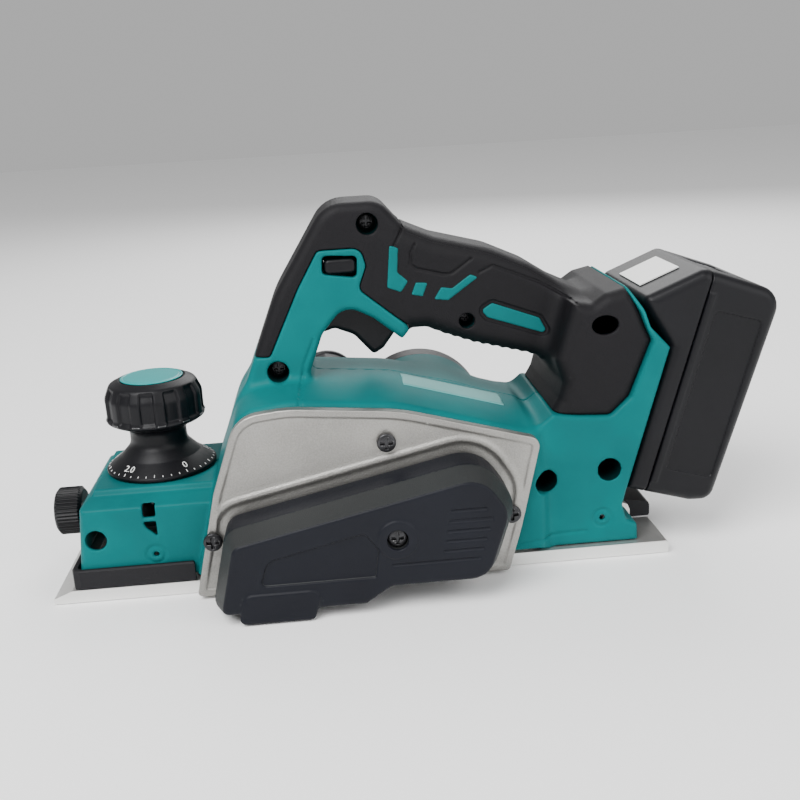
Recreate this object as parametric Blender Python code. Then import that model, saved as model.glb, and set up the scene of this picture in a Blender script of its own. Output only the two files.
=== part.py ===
"""Cordless electric hand planer, modelled as the pieces it is assembled from.

Frame: the origin lies on the flat underside of the rear base, on the centre
plane. +X points to the rear (battery end), +Z up, -Y to the belt-cover side.
Every dimension below is in millimetres; make_mesh() turns them into metres.
"""

import math

import bmesh
import bpy
from mathutils import Vector

MM = 0.001
GAP = 0.3                    # clearance kept between touching pieces
MERGE = 2e-6                 # metres: points closer than this are one point

# ---- driving dimensions -------------------------------------------------
SOLE_FRONT = -165.0          # front tip of the front base
SOLE_REAR = 126.0            # rear end of the rear base
SOLE_HALF = 42.0             # half the sole width
SOLE_T = 6.0                 # thickness of both bases
DEPTH_MAX = 2.0              # travel of the front base

DRUM_X, DRUM_Z = -57.0, 25.0     # cutter drum axis (runs along Y)
CUT_R = 24.85                # radius of the knife edges
DRUM_R = 23.0                # radius of the drum body
DRUM_HALF = 41.0             # half the planing width
MOTOR_X, MOTOR_Z = 18.0, 46.0    # motor axis (runs along Y)
DRUM_PULLEY_R = 14.0
MOTOR_PULLEY_R = 9.0
BELT_T = 2.0
BELT_Y0, BELT_Y1 = -66.0, -54.0  # width of the belt run

WALL = 2.2                   # plastic wall thickness
BODY_HALF = 43.7             # half width of the body over the drum and motor
CAVITY_HALF = 41.8
NOSE_HALF = 39.4             # half width of the front and rear housing
BRACKET_Y0, BRACKET_Y1 = -44.0, -49.2   # belt bracket, inner and outer face
COVER_Y = -78.0              # outer face of the belt cover

KNOB_X = -115.4              # depth knob axis (vertical)
NOSE_TOP = 50.0
THUMB_Z = 29.8               # thumb knob axis height
GUIDE_HOLE = (-143.0, 28.8, 4.9)        # x, z, radius of the guide rod hole

RAIL_X, RAIL_Z = 106.0, 31.0     # lower end of the battery rail line
RAIL_LEAN = math.radians(16.2)   # lean of the rails from the vertical
BATTERY_HALF = 37.5

TRIGGER_PIVOT = (-28.0, 121.0)
FOOT_PIVOT = (109.0, 12.5)
NOZZLE = (-32.0, 66.5, 16.0)     # x, z, outer radius of the chip nozzle

# recessed housing screws: x, z, depth of the outer face, head radius, end of the post
HOUSING_SCREWS = {
    "screw_leg": (-53.8, 97.3, 21.0, 3.7, 18.0),
    "screw_handle_top": (-8.2, 162.9, 18.0, 3.7, 15.0),
    "screw_grip": (35.6, 115.1, 18.0, 2.2, 14.8),
    "screw_rear_front": (67.1, 40.5, 39.4, 3.7, 38.4),
    "screw_rear_low": (97.7, 43.5, 39.4, 3.7, 38.4),
}
BRACKET_SCREWS = {
    "bracket_screw_front": (-88.2, 28.9),
    "bracket_screw_top": (-7.1, 69.8),
    "bracket_screw_rear": (48.6, 30.5),
}
COVER_SCREW = (-6.0, 34.5)


# ---- materials ----------------------------------------------------------
def material(name, color, roughness, metallic=0.0):
    """Principled material, made once for each name."""
    found = bpy.data.materials.get(name)
    if found:
        return found
    made = bpy.data.materials.new(name)
    made.use_nodes = True
    shader = made.node_tree.nodes["Principled BSDF"]
    shader.inputs["Base Color"].default_value = (*color, 1.0)
    shader.inputs["Roughness"].default_value = roughness
    shader.inputs["Metallic"].default_value = metallic
    return made


def teal():
    return material("teal_plastic", (0.0, 0.16, 0.17), 0.42)


def rubber():
    return material("black_rubber", (0.018, 0.017, 0.02), 0.75)


def black():
    return material("black_plastic", (0.014, 0.016, 0.022), 0.45)


def casting():
    return material("cast_aluminium", (0.5, 0.49, 0.46), 0.5, 0.9)


def milled():
    return material("milled_aluminium", (0.72, 0.72, 0.71), 0.32, 1.0)


def steel():
    return material("steel", (0.35, 0.35, 0.36), 0.3, 1.0)


def dark_steel():
    return material("blackened_steel", (0.04, 0.04, 0.042), 0.35, 1.0)


def copper():
    return material("copper", (0.5, 0.2, 0.08), 0.4, 1.0)


def pale_label():
    return material("pale_label", (0.55, 0.6, 0.6), 0.4)


# ---- mesh tools ---------------------------------------------------------
def make_mesh(name, points, faces, finish):
    """Object from points in millimetres, with outward faces."""
    mesh = bpy.data.meshes.new(name)
    mesh.from_pydata([Vector(p) * MM for p in points], [], faces)
    work = bmesh.new()
    work.from_mesh(mesh)
    bmesh.ops.remove_doubles(work, verts=work.verts, dist=1e-7)
    bmesh.ops.recalc_face_normals(work, faces=work.faces)
    work.to_mesh(mesh)
    work.free()
    mesh.materials.append(finish)
    mesh.shade_smooth()
    mesh.set_sharp_from_angle(angle=math.radians(35))
    made = bpy.data.objects.new(name, mesh)
    bpy.context.scene.collection.objects.link(made)
    return made


def loft(name, rings, finish):
    """Closed solid through rings that have the same number of points."""
    count = len(rings[0])
    points = [p for ring in rings for p in ring]
    faces = []
    for k in range(len(rings) - 1):
        for i in range(count):
            j = (i + 1) % count
            faces.append((k * count + i, k * count + j,
                          (k + 1) * count + j, (k + 1) * count + i))
    faces.append(tuple(range(count)))
    faces.append(tuple(range(len(points) - count, len(points))))
    return make_mesh(name, points, faces, finish)


def rounded(corners, steps=2):
    """Outline through corners (a, b, radius), each turned into an arc.

    A corner with a radius always gives steps + 1 points, and one without
    gives a single point, so that insets of one outline match point by point.
    """
    outline = []
    for i, (a, b, *radius) in enumerate(corners):
        here = Vector((a, b))
        if not radius:
            outline.append(here)
            continue
        to_last = Vector(corners[i - 1][:2]) - here
        to_next = Vector(corners[(i + 1) % len(corners)][:2]) - here
        room = 0.49 * min(to_last.length, to_next.length)
        to_last.normalize()
        to_next.normalize()
        half = to_last.angle(to_next) / 2
        reach = min(radius[0] / math.tan(half), room)
        if reach < 1e-3:
            outline += [here.copy() for _ in range(steps + 1)]
            continue
        centre = here + (to_last + to_next).normalized() * reach / math.cos(half)
        first = here + to_last * reach - centre
        last = here + to_next * reach - centre
        turn = first.angle(last)
        for k in range(steps + 1):
            share = k / steps
            blend = (first * math.sin((1 - share) * turn)
                     + last * math.sin(share * turn)) / math.sin(turn)
            outline.append(centre + blend)
    return outline


def inset(corners, amount):
    """Corners moved inwards by amount, their radii changed to keep the wall even."""
    count = len(corners)
    spots = [Vector(corner[:2]) for corner in corners]
    area = sum(spots[i].x * spots[(i + 1) % count].y
               - spots[(i + 1) % count].x * spots[i].y for i in range(count))
    side = 1.0 if area > 0 else -1.0
    moved = []
    for i, here in enumerate(spots):
        before = (here - spots[i - 1]).normalized()
        after = (spots[(i + 1) % count] - here).normalized()
        n1 = Vector((-before.y, before.x)) * side
        n2 = Vector((-after.y, after.x)) * side
        spot = here + (n1 + n2) * amount / max(0.35, 1 + n1.dot(n2))
        bulges = (before.x * after.y - before.y * after.x) * side > 0
        change = -amount if bulges else amount
        moved.append((spot.x, spot.y, *(max(0.0, r + change) for r in corners[i][2:])))
    return moved


PLANES = {
    "XZ": lambda a, b, level: (a, level, b),
    "XY": lambda a, b, level: (a, b, level),
    "YZ": lambda a, b, level: (level, a, b),
}


def layered(name, corners, levels, finish, plane="XZ", steps=2):
    """Solid from one outline, inset by a different amount at each level."""
    place = PLANES[plane]
    rings = [[place(p.x, p.y, level) for p in rounded(inset(corners, amount), steps)]
             for amount, level in levels]
    return loft(name, rings, finish)


def slab(name, corners, low, high, finish, plane="XZ", steps=2):
    """Straight extrusion of an outline."""
    return layered(name, corners, [(0, low), (0, high)], finish, plane, steps)


def box(name, low, high, finish):
    rim = [(low[0], low[1]), (high[0], low[1]), (high[0], high[1]), (low[0], high[1])]
    return slab(name, rim, low[2], high[2], finish, "XY")


def turned(name, profile, centre, axis, finish, sides=24, ring=False, ripple=None):
    """Revolved solid. The profile's points are (radius, distance along the axis)."""
    lead = {"X": (1, 2, 0), "Y": (2, 0, 1), "Z": (0, 1, 2)}[axis]
    points, rows = [], []
    for radius, along in profile:
        row = []
        for k in range(1 if radius == 0 else sides):
            angle = 2 * math.pi * k / sides
            reach = radius * (ripple(angle, along) if ripple else 1.0)
            local = (reach * math.cos(angle), reach * math.sin(angle), along)
            spot = list(centre)
            for value, slot in zip(local, lead):
                spot[slot] += value
            row.append(len(points))
            points.append(spot)
        rows.append(row)
    faces = []
    pairs = list(zip(rows, rows[1:]))
    if ring:
        pairs.append((rows[-1], rows[0]))
    for one, two in pairs:
        for k in range(sides):
            m = (k + 1) % sides
            corner = [one[k % len(one)], one[m % len(one)],
                      two[m % len(two)], two[k % len(two)]]
            faces.append(tuple(dict.fromkeys(corner)))
    if not ring:
        faces += [tuple(row) for row in (rows[0], rows[-1]) if len(row) > 1]
    return make_mesh(name, points, faces, finish)


def rod(name, centre, axis, radius, low, high, finish, sides=12):
    profile = [(radius, low), (radius, high)]
    return turned(name, profile, centre, axis, finish, sides)


def hoop(name, centre, axis, inner, outer, low, high, finish, sides=18):
    profile = [(inner, low), (outer, low), (outer, high), (inner, high)]
    return turned(name, profile, centre, axis, finish, sides, ring=True)


def combine(target, tool, operation):
    """Boolean of two closed solids; the tool is used up."""
    step = target.modifiers.new("combine", "BOOLEAN")
    step.operation = operation
    step.object = tool
    step.solver = "EXACT"
    graph = bpy.context.evaluated_depsgraph_get()
    result = bpy.data.meshes.new_from_object(target.evaluated_get(graph))
    target.modifiers.remove(step)
    work = bmesh.new()
    work.from_mesh(result)
    bmesh.ops.remove_doubles(work, verts=work.verts, dist=MERGE)
    bmesh.ops.dissolve_degenerate(work, edges=work.edges, dist=MERGE)
    work.to_mesh(result)
    work.free()
    target.data = result
    bpy.data.objects.remove(tool)
    return target


def cut(target, *tools):
    for tool in tools:
        combine(target, tool, "DIFFERENCE")
    return target


def join(target, *others):
    for other in others:
        combine(target, other, "UNION")
    return target


def mirrored(source, name):
    """Copy of an object reflected in the centre plane."""
    work = bmesh.new()
    work.from_mesh(source.data)
    for vertex in work.verts:
        vertex.co.y = -vertex.co.y
    bmesh.ops.reverse_faces(work, faces=work.faces)
    mesh = bpy.data.meshes.new(name)
    work.to_mesh(mesh)
    work.free()
    for slot in source.data.materials:
        mesh.materials.append(slot)
    mesh.set_sharp_from_angle(angle=math.radians(35))
    made = bpy.data.objects.new(name, mesh)
    bpy.context.scene.collection.objects.link(made)
    return made


def pivot(name, x, y, z, pieces):
    """Empty on a joint's axis, which carries the pieces of one moving body."""
    empty = bpy.data.objects.new(name, None)
    empty.location = Vector((x, y, z)) * MM
    bpy.context.scene.collection.objects.link(empty)
    bpy.context.view_layer.update()
    for piece in pieces:
        piece.parent = empty
        piece.matrix_parent_inverse = empty.matrix_world.inverted()
    return empty


def rail_point(up, out, *radius):
    """Corner given by its distance up the battery rails and out from them."""
    x = RAIL_X + up * math.sin(RAIL_LEAN) + out * math.cos(RAIL_LEAN)
    z = RAIL_Z + up * math.cos(RAIL_LEAN) - out * math.sin(RAIL_LEAN)
    return (x, z, *radius)


# ---- outlines of the housing, in the XZ plane ---------------------------
def body_outline(rise=0.0):
    """Side view of the body over drum and motor, its top raised by rise."""
    return [
        (-97.6, 8.7, 1), (-85.5, 50.5, 30), (-72.0, 83.5 + rise * 0.5, 14),
        (-49.0, 86.6 + rise, 40), (0.0, 82.0 + rise, 60),
        (62.0, 63.5 + rise * 0.5, 5), (66.0, 30.0, 5), (66.0, 8.7, 1),
    ]


def leg_outline():
    """Front leg of the handle with the hump above the trigger."""
    return [
        (-79.0, 62.0), (-74.6, 79.9, 20), (-52.9, 132.6, 60), (-27.0, 172.8, 16),
        (-2.0, 172.8, 10), (8.3, 160.6, 3), (4.5, 150.0), (6.0, 125.0),
        (8.2, 107.4, 2), (-8.0, 119.5, 8), (-21.0, 126.5, 12),
        (-32.0, 113.5, 9), (-38.5, 97.0, 20), (-43.5, 76.0), (-45.0, 62.0),
    ]


def leg_patch():
    """Teal face of the leg, round the lock-off window, left free of rubber."""
    return [
        (-79.5, 66.0), (-68.5, 97.5), (-66.3, 104.5, 1), (-56.8, 104.5, 2),
        (-41.5, 135.5), (-31.5, 152.2, 3), (-12.0, 152.2, 5), (-10.0, 144.0, 4),
        (-14.2, 133.5, 4), (8.5, 114.2, 1), (5.0, 107.0), (-20.0, 112.0),
        (-33.0, 100.0), (-40.0, 66.0),
    ]


def grip_outline():
    """Hand grip between the hump and the battery head."""
    return [
        (8.5, 160.2, 1), (22.0, 154.8, 12), (48.0, 147.8, 30), (66.0, 139.4, 30),
        (96.0, 119.5), (88.0, 88.0), (73.0, 94.2, 6), (40.0, 103.2, 20),
        (26.0, 108.4, 8), (17.0, 112.4, 6), (8.4, 112.8, 2), (6.4, 125.0),
        (4.9, 150.0),
    ]


def head_outline():
    """Upper rear block, in front of the battery, covered with rubber.

    It overshoots the rim, which trims it.
    """
    return [
        (69.4, 68.4, 1), (75.2, 78.5, 4), (77.3, 86.0, 6), (73.7, 97.0, 5),
        (82.0, 124.0, 1), (90.9, 122.4, 3), (97.5, 126.8, 4), (106.9, 128.8, 1),
        (113.6, 118.6, 5), (116.8, 110.9, 4), (119.8, 104.5, 2), (109.0, 76.5, 2),
        (99.5, 67.0, 4), (84.0, 67.6, 6),
    ]


def rear_outline():
    """Core of the rear housing, under the rubber and inside the rim."""
    return [
        (46.0, 6.8), (46.0, 58.0, 2), (69.5, 67.4, 2), (78.2, 76.8, 3),
        (80.3, 86.5, 4), (79.0, 97.0, 4), (87.0, 117.0, 3), (97.5, 122.9, 3),
        (105.5, 123.6, 2), (112.0, 115.0, 5), (114.5, 108.5, 4), (124.6, 100.5, 1),
        (104.6, 31.0), (103.0, 24.5, 1), (105.0, 16.0, 2), (110.0, 13.5, 1),
        (110.4, 6.8),
    ]


def rim_outline():
    """Band of the rear housing that stays in sight behind the rubber."""
    return [
        (49.0, 6.3), (49.0, 55.0), (71.0, 72.5), (84.3, 70.6, 6), (98.5, 69.7, 4),
        (108.0, 78.3, 2), (118.0, 104.0, 2), (115.1, 110.2, 4), (112.3, 117.7, 6),
        (106.3, 128.4, 1), (107.5, 129.0), (114.2, 118.2, 5), (116.8, 110.7, 4),
        (126.0, 100.6, 1), (105.9, 31.0), (104.3, 24.5, 1), (106.5, 17.0, 2),
        (111.5, 14.5, 1), (111.9, 6.3),
    ]


# ---- housing ------------------------------------------------------------
def nose_solid(name, shrink, low, top, rear):
    """Front block under the depth knob, from just over the centre plane outwards."""
    rings = []
    for z, front, half in (
        (low, -153.0, NOSE_HALF), (43.5, -149.2, NOSE_HALF), (46.4, -146.2, 31.6),
        (47.0, -144.4, 29.6), (top, -143.4, 28.2),
    ):
        x = front + shrink
        y = half - shrink
        rings.append([
            (rear, 1.3, z), (x, 1.3, z), (x, 3.5 - y, z),
            (x + 1.0, 1.0 - y, z), (x + 3.5, -y, z), (rear, -y, z),
        ])
    return loft(name, rings, teal())


def body_solid(name, shrink, half, steps=2):
    """Body over drum and motor: one half, crowned towards the centre plane."""
    levels = ((0.0, half), (3.5, half - 3.0), (6.5, 24.0), (7.5, -1.0))
    rings = [[(p.x, -y, p.y) for p in rounded(inset(body_outline(rise), shrink), steps)]
             for rise, y in levels]
    return loft(name, rings, teal())


def far_half():
    """Everything past the parting face of the -Y half."""
    return box("far_half", (-200.0, -GAP / 2, -20.0), (200.0, 80.0, 220.0), teal())


def screw_posts(shell):
    """Posts inside one half for the recessed screws, before they are drilled."""
    for x, z, _, head, end in HOUSING_SCREWS.values():
        join(shell, rod("post", (x, 0, z), "Y", head + 2.3, -end, 0.7, teal()))


def housing_shell():
    """The -Y half before the features that only one side has."""
    trigger = (TRIGGER_PIVOT[0], 0, TRIGGER_PIVOT[1])
    shell = body_solid("housing_left", 0.0, BODY_HALF)
    join(
        shell,
        nose_solid("nose", 0.0, 8.7, NOSE_TOP, -86.0),
        slab("leg", inset(leg_outline(), 2.8), -15.4, 1.6, teal()),
        slab("grip", inset(grip_outline(), 2.8), -15.2, 1.9, teal()),
        layered("rear", rear_outline(), [(0, 2.2), (0, -30.0), (2.5, -34.2)], teal()),
    )
    patch = layered("patch", leg_patch(), [(-1, 2.5), (-1, -17.6), (0.6, -19.4)], teal())
    silhouette = layered(
        "silhouette", leg_outline(),
        [(0, 3.4), (0, -16.0), (1.6, -18.6), (4.0, -22.0)], teal())
    combine(patch, silhouette, "INTERSECT")
    rim = slab("rim", rim_outline(), -NOSE_HALF, 2.8, teal())
    end_view = [(-NOSE_HALF - 1.0, 0.0), (-NOSE_HALF - 1.0, 130.6, 17), (6.0, 130.6), (6.0, 0.0)]
    combine(rim, slab("end_view", end_view, 40.0, 130.0, teal(), "YZ"), "INTERSECT")
    bridge = box("bridge", (-2.0, -14.6, 124.0), (16.0, 3.1, 156.0), teal())
    join(shell, patch, rim, bridge)
    cut(
        shell,
        body_solid("body_room", 2.5, CAVITY_HALF, steps=1),
        nose_solid("nose_room", WALL, 6.0, NOSE_TOP - 2.6, -84.0),
        slab("leg_room", inset(leg_outline(), 5.4), -13.4, 4.1, teal(), steps=1),
        slab("grip_room", inset(grip_outline(), 5.2), -13.2, 4.4, teal(), steps=1),
        slab("rear_room", inset(rear_outline(), 2.4), -32.0, 4.7, teal(), steps=1),
        box("mouth_room", (-96.0, 0.2 - CAVITY_HALF, 0.0), (63.5, 5.0, 14.0), teal()),
        box("base_room", (50.0, -36.8, 0.0), (99.0, 5.3, 9.4), teal()),
        box("side_room", (52.0, -37.0, 4.0), (99.0, 5.1, 60.0), teal()),
        box("trigger_room", (-34.5, -8.4, 96.0), (8.4, 5.6, 133.0), teal()),
        box("bridge_room", (-5.0, -12.6, 126.5), (18.0, 6.1, 153.5), teal()),
        rod("trigger_seat", trigger, "Y", 2.4, -11.0, 6.4, teal()),
        box("foot_room", (101.5, -17.2, -2.0), (130.0, 6.6, 19.0), teal()),
    )
    return shell


def drill_housing(shell, side):
    """Holes that both halves share: the screws, the knob, the drum and the motor."""
    for x, z, y, head, _ in HOUSING_SCREWS.values():
        spot = (x, 0, z)
        cut(shell, rod("pilot", spot, "Y", 2.0, -0.6 * y, 0.6 * y, teal(), 12))
        if side < 0:
            cut(shell, rod("recess", spot, "Y", head + 0.9, -60.0, 4.0 - 0.6 * y, teal()))
    spindle = rod("spindle_hole", (KNOB_X, 0, 0), "Z", 5.0, 40.0, 60.0, teal())
    x, z, radius = GUIDE_HOLE
    guide = rod("guide_hole", (x, 0, z), "Y", radius, -60.0, 60.0, teal())
    thumb = rod("thumb_hole", (0, 0, THUMB_Z), "X", 3.3, -160.0, -146.0, teal(), 12)
    drum = rod("drum_hole", (DRUM_X, 0, DRUM_Z), "Y", 9.0, -60.0, 60.0, teal())
    window = slab("window", [
        (-30.2, 139.4, 1), (-30.0, 149.6, 2), (-13.4, 149.6, 2), (-13.2, 139.4, 1),
    ], -25.0, 25.0, teal())
    cut(shell, spindle, guide, thumb, drum, window)


def make_housing():
    left = housing_shell()
    screw_posts(left)
    cut(left, far_half())
    right = mirrored(left, "housing_right")
    drill_housing(left, -1)
    drill_housing(right, 1)
    motor = (MOTOR_X, 0, MOTOR_Z)
    cut(left, rod("shaft_hole", motor, "Y", 12.0, -60.0, -30.0, teal()))
    square = slab("slot", [
        (-120.4, 38.2), (-120.4, 44.4), (-114.6, 44.4), (-114.6, 38.2)], -45, -30, teal())
    wedge = slab("slot", [
        Vector(p) for p in ((-120.6, 36.2), (-114.8, 36.2), (-114.8, 28.6), (-119.6, 33.0))
    ], -45, -30, teal())
    cut(left, square, wedge)
    for x, z in BRACKET_SCREWS.values():
        cut(left, rod("pilot", (x, 0, z), "Y", 2.1, -60.0, -30.0, teal(), 12))
    join(right, rod("barrel", motor, "Y", 36.0, 42.6, 58.0, teal(), 28))
    cut(right, rod("bore", motor, "Y", 32.0, 30.0, 60.0, teal(), 28))
    nozzle_x, nozzle_z, nozzle_r = NOZZLE
    cut(right, rod("chip_hole", (nozzle_x, 0, nozzle_z), "Y", nozzle_r - 2.5, 30, 50, teal(), 20))
    return left, right


def make_overmold(name, regions, keep_out):
    """Rubber skin of one handle region on the -Y half."""
    skin = None
    for outline, levels in regions:
        piece = layered(name, outline, levels, rubber())
        skin = piece if skin is None else join(skin, piece)
    return cut(skin, *keep_out, far_half())


def make_grips():
    """Front and rear rubber skins on both halves."""
    grow = -GAP
    front = make_overmold(
        "front_grip_left",
        [(leg_outline(), [(0, 1.0), (0, -14.5), (1.8, -17.2), (4.5, -18.6)])],
        [
            slab("core", inset(leg_outline(), 2.8 + grow), -15.7, 2.0, rubber()),
            slab("patch", inset(leg_patch(), grow - 1.0), -25.0, 2.5, rubber()),
            box("foot", (-85.0, -25.0, 55.0), (-30.0, 3.0, 105.0), rubber()),
            box("arch", (-40.0, -25.0, 95.0), (12.0, 3.5, 131.0), rubber()),
            box("bridge", (-4.0, -14.9, 123.7), (16.3, 4.0, 156.3), rubber()),
        ],
    )
    rear = make_overmold(
        "rear_grip_left",
        [
            (grip_outline(), [(0, 1.0), (0, -11.0), (2.0, -15.0), (4.5, -17.4), (7.0, -18.4)]),
            (head_outline(), [(0, 1.5), (0, -29.0), (2.0, -34.6), (4.5, -37.0)]),
        ],
        [
            slab("core", inset(grip_outline(), 2.8 + grow), -15.5, 2.0, rubber()),
            layered("rear", inset(rear_outline(), grow),
                    [(0, 2.5), (0, -30.3), (2.5, -34.5)], rubber()),
            slab("rim", inset(rim_outline(), grow), -45.0, 3.0, rubber()),
            box("bridge", (-4.0, -14.9, 123.7), (16.3, 4.0, 156.3), rubber()),
        ],
    )
    skins = [front, rear]
    pair = [mirrored(front, "front_grip_right"), mirrored(rear, "rear_grip_right")]
    for skin in skins:
        for x, z, _, head, _ in HOUSING_SCREWS.values():
            cut(skin, rod("recess", (x, 0, z), "Y", head + 1.4, -60.0, -1.0, rubber()))
    return skins + pair


def make_housing_screws():
    """Recessed screws that pull the two halves together."""
    for name, (x, z, y, head, _) in HOUSING_SCREWS.items():
        seat = 4.0 - 0.6 * y - GAP
        profile = [(0, 0.45 * y), (1.5, 0.45 * y), (1.5, seat), (head, seat),
                   (head, seat - 2.0), (head - 0.8, seat - 2.6), (0, seat - 2.6)]
        turned(name, profile, (x, 0, z), "Y", dark_steel(), 12)


# ---- bases --------------------------------------------------------------
def make_front_base():
    """Adjustable front sole with the threaded block that the spindle drives."""
    lip = DRUM_X - 10.5
    outline = [Vector(p) for p in (
        (SOLE_FRONT, 0.0), (lip, 0.0), (DRUM_X - 19.4, SOLE_T),
        (SOLE_FRONT + 8.5, SOLE_T), (SOLE_FRONT, 2.6))]
    base = slab("front_base", outline, -SOLE_HALF, SOLE_HALF, milled())
    block = [(-134, -15, 4), (-97, -15, 4), (-97, 15, 4), (-134, 15, 4)]
    join(base, slab("block", block, SOLE_T - 1, 24.0, milled(), "XY"))
    groove = [Vector(p) for p in ((-2.4, -1.0), (2.4, -1.0), (0.0, 2.2))]
    cut(
        base,
        rod("bore", (KNOB_X, 0, 0), "Z", 4.3, 7.0, 30.0, milled()),
        slab("v_groove", groove, -170.0, -60.0, milled(), "YZ"),
    )
    return base


def make_base_shroud():
    """Black skirt standing on the front base round the foot of the nose."""
    outer = [(-156.0, -SOLE_HALF, 4), (-99.2, -SOLE_HALF), (-99.2, SOLE_HALF),
             (-156.0, SOLE_HALF, 4)]
    inner = [(-153.5, -39.9, 2.5), (-90.0, -39.9), (-90.0, 39.9), (-153.5, 39.9, 2.5)]
    shroud = layered("base_shroud", outer,
                     [(0, SOLE_T + GAP), (0, 14.9), (0.7, 15.6)], rubber(), "XY")
    return cut(shroud, slab("inner", inner, 0.0, 30.0, rubber(), "XY"))


def make_rear_base():
    """Fixed rear sole with the ears that carry the parking foot."""
    outline = [Vector(p) for p in (
        (DRUM_X + 9.0, 0.0), (SOLE_REAR, 0.0), (SOLE_REAR, SOLE_T - 1.0),
        (SOLE_REAR - 1.0, SOLE_T), (DRUM_X + 19.4, SOLE_T))]
    base = slab("rear_base", outline, -SOLE_HALF, SOLE_HALF, milled())
    for y in (-16.6, 12.6):
        ear = [(103.5, 5.0), (114.5, 5.0), (114.5, 16.5, 4), (103.5, 16.5, 4)]
        join(base, slab("ear", ear, y, y + 4.0, milled()))
    for y in (-34.0, -24.0, 24.0, 34.0):
        join(base, box("rib", (-20.0, y - 1.2, 5.0), (96.0, y + 1.2, 8.6), milled()))
    x, z = FOOT_PIVOT
    return cut(
        base,
        box("notch", (101.8, -12.6, -1.0), (SOLE_REAR + 1, 12.6, 10.0), milled()),
        rod("pin_hole", (x, 0, z), "Y", 1.8, -20.0, 20.0, milled(), 12),
    )


def make_foot():
    """Swinging parking foot on its pin, folded up at rest."""
    x, z = FOOT_PIVOT
    side = [(x - 3.6, z - 3.6, 3), (x + 8.0, z - 6.0, 1), (x + 17.0, z - 6.0, 1),
            (x + 17.0, z + 1.5, 2), (x + 3.0, z + 3.8, 3), (x - 3.6, z + 3.8, 3)]
    foot = slab("parking_foot", side, -12.2, 12.2, black())
    cut(foot, rod("bore", (x, 0, z), "Y", 1.8, -20, 20, black(), 12))
    pin = rod("foot_pin", (x, 0, z), "Y", 1.5, -16.4, 16.4, steel(), 12)
    return foot, pin


# ---- drive --------------------------------------------------------------
def bracket_outline():
    return [
        (-98.6, 1.2, 2), (-86.2, 51.0, 40), (-73.3, 86.0, 16), (-50.0, 88.4, 60),
        (0.0, 83.6, 90), (63.6, 65.4, 5), (54.0, 24.0, 40), (47.5, 1.2, 2),
    ]


def cover_outline():
    return [
        (-90.3, 0.9, 5), (-80.6, 40.4, 6), (35.0, 65.0, 9), (47.6, 42.5, 3),
        (35.2, 8.2, 10), (-8.5, 8.2, 2), (-20.0, 0.9, 3),
    ]


def make_belt_bracket():
    """Cast side plate that carries the near bearings and the belt cover."""
    plate = layered("belt_bracket", bracket_outline(), [
        (0, BRACKET_Y0), (0, -48.8), (0.9, -50.0), (3.2, -50.0), (4.4, BRACKET_Y1),
    ], casting())
    drum = (DRUM_X, 0, DRUM_Z)
    motor = (MOTOR_X, 0, MOTOR_Z)
    cut(plate, rod("seat", drum, "Y", 13.3, -60, -40, casting(), 20),
        rod("seat", motor, "Y", 11.3, -60, -40, casting(), 20))
    for x, z in list(BRACKET_SCREWS.values()) + [COVER_SCREW]:
        cut(plate, rod("hole", (x, 0, z), "Y", 2.1, -60, -40, casting(), 12))
    return plate


def make_belt_cover():
    """Moulded cover over the belt, open towards the bracket."""
    outline = cover_outline()
    rim = -50.0 - GAP
    cover = layered("belt_cover", outline, [
        (0, rim), (0, -65.0), (1.2, -67.0), (4.2, -76.6), (5.2, COVER_Y)], black())
    lower = [(-78.0, 0.5, 3), (-73.0, 14.0, 4), (-40.0, 14.0, 4), (-44.0, 0.5, 3)]
    join(cover, layered("lower_step", lower, [(0, -60.0), (0, -77.0), (1.5, -79.0)], black()))
    room = layered("room", inset(outline, 2.4), [
        (0, rim + 2.0), (0, -64.0), (3.4, -74.6)], black())
    x, z = COVER_SCREW
    cut(cover, room)
    join(cover, rod("pillar", (x, 0, z), "Y", 4.6, -76.0, rim, black(), 14))
    pocket = [(-66.5, 17.6, 2), (-62.5, 29.0, 6), (-20.0, 38.5, 3), (-14.5, 30.0, 3),
              (-16.5, 17.6, 1)]
    cut(
        cover,
        rod("recess", (x, 0, z), "Y", 4.5, -90.0, -73.6, black(), 14),
        rod("hole", (x, 0, z), "Y", 2.1, -90.0, -30.0, black(), 12),
        layered("pocket", pocket, [(0.8, -77.1), (0, -79.0)], black()),
    )
    return cover


def make_plate_screws():
    for name, (x, z) in BRACKET_SCREWS.items():
        profile = [(0, -32.0), (1.8, -32.0), (1.8, -50.3), (4.3, -50.3),
                   (4.3, -51.6), (3.2, -52.7), (0, -52.9)]
        turned(name, profile, (x, 0, z), "Y", dark_steel(), 12)
    x, z = COVER_SCREW
    profile = [(0, -45.0), (1.8, -45.0), (1.8, -73.9), (4.2, -73.9),
               (4.2, -75.2), (3.2, -76.5), (0, -76.7)]
    turned("cover_screw", profile, (x, 0, z), "Y", dark_steel(), 12)


def make_bearing(name, x, z, low, high, inner, outer):
    return hoop(name, (x, 0, z), "Y", inner, outer, low, high, steel())


def make_bearing_plate():
    """Far-side casting that carries the other end of the drum."""
    outline = [(-87.0, 1.2, 3), (-80.0, 50.0, 12), (-38.0, 50.0, 12), (-28.0, 1.2, 3)]
    plate = layered("bearing_plate", outline,
                    [(0, 44.0), (0, 49.6), (1.0, 50.6)], casting())
    centre = (DRUM_X, 0, DRUM_Z)
    cap = turned("cap", [(0, 46.0), (16.5, 46.0), (16.5, 51.8), (14.0, 53.4), (0, 53.4)],
                 centre, "Y", casting(), 20)
    join(plate, cap)
    return cut(plate, rod("seat", centre, "Y", 13.3, 40, 51.0, casting(), 20))


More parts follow.
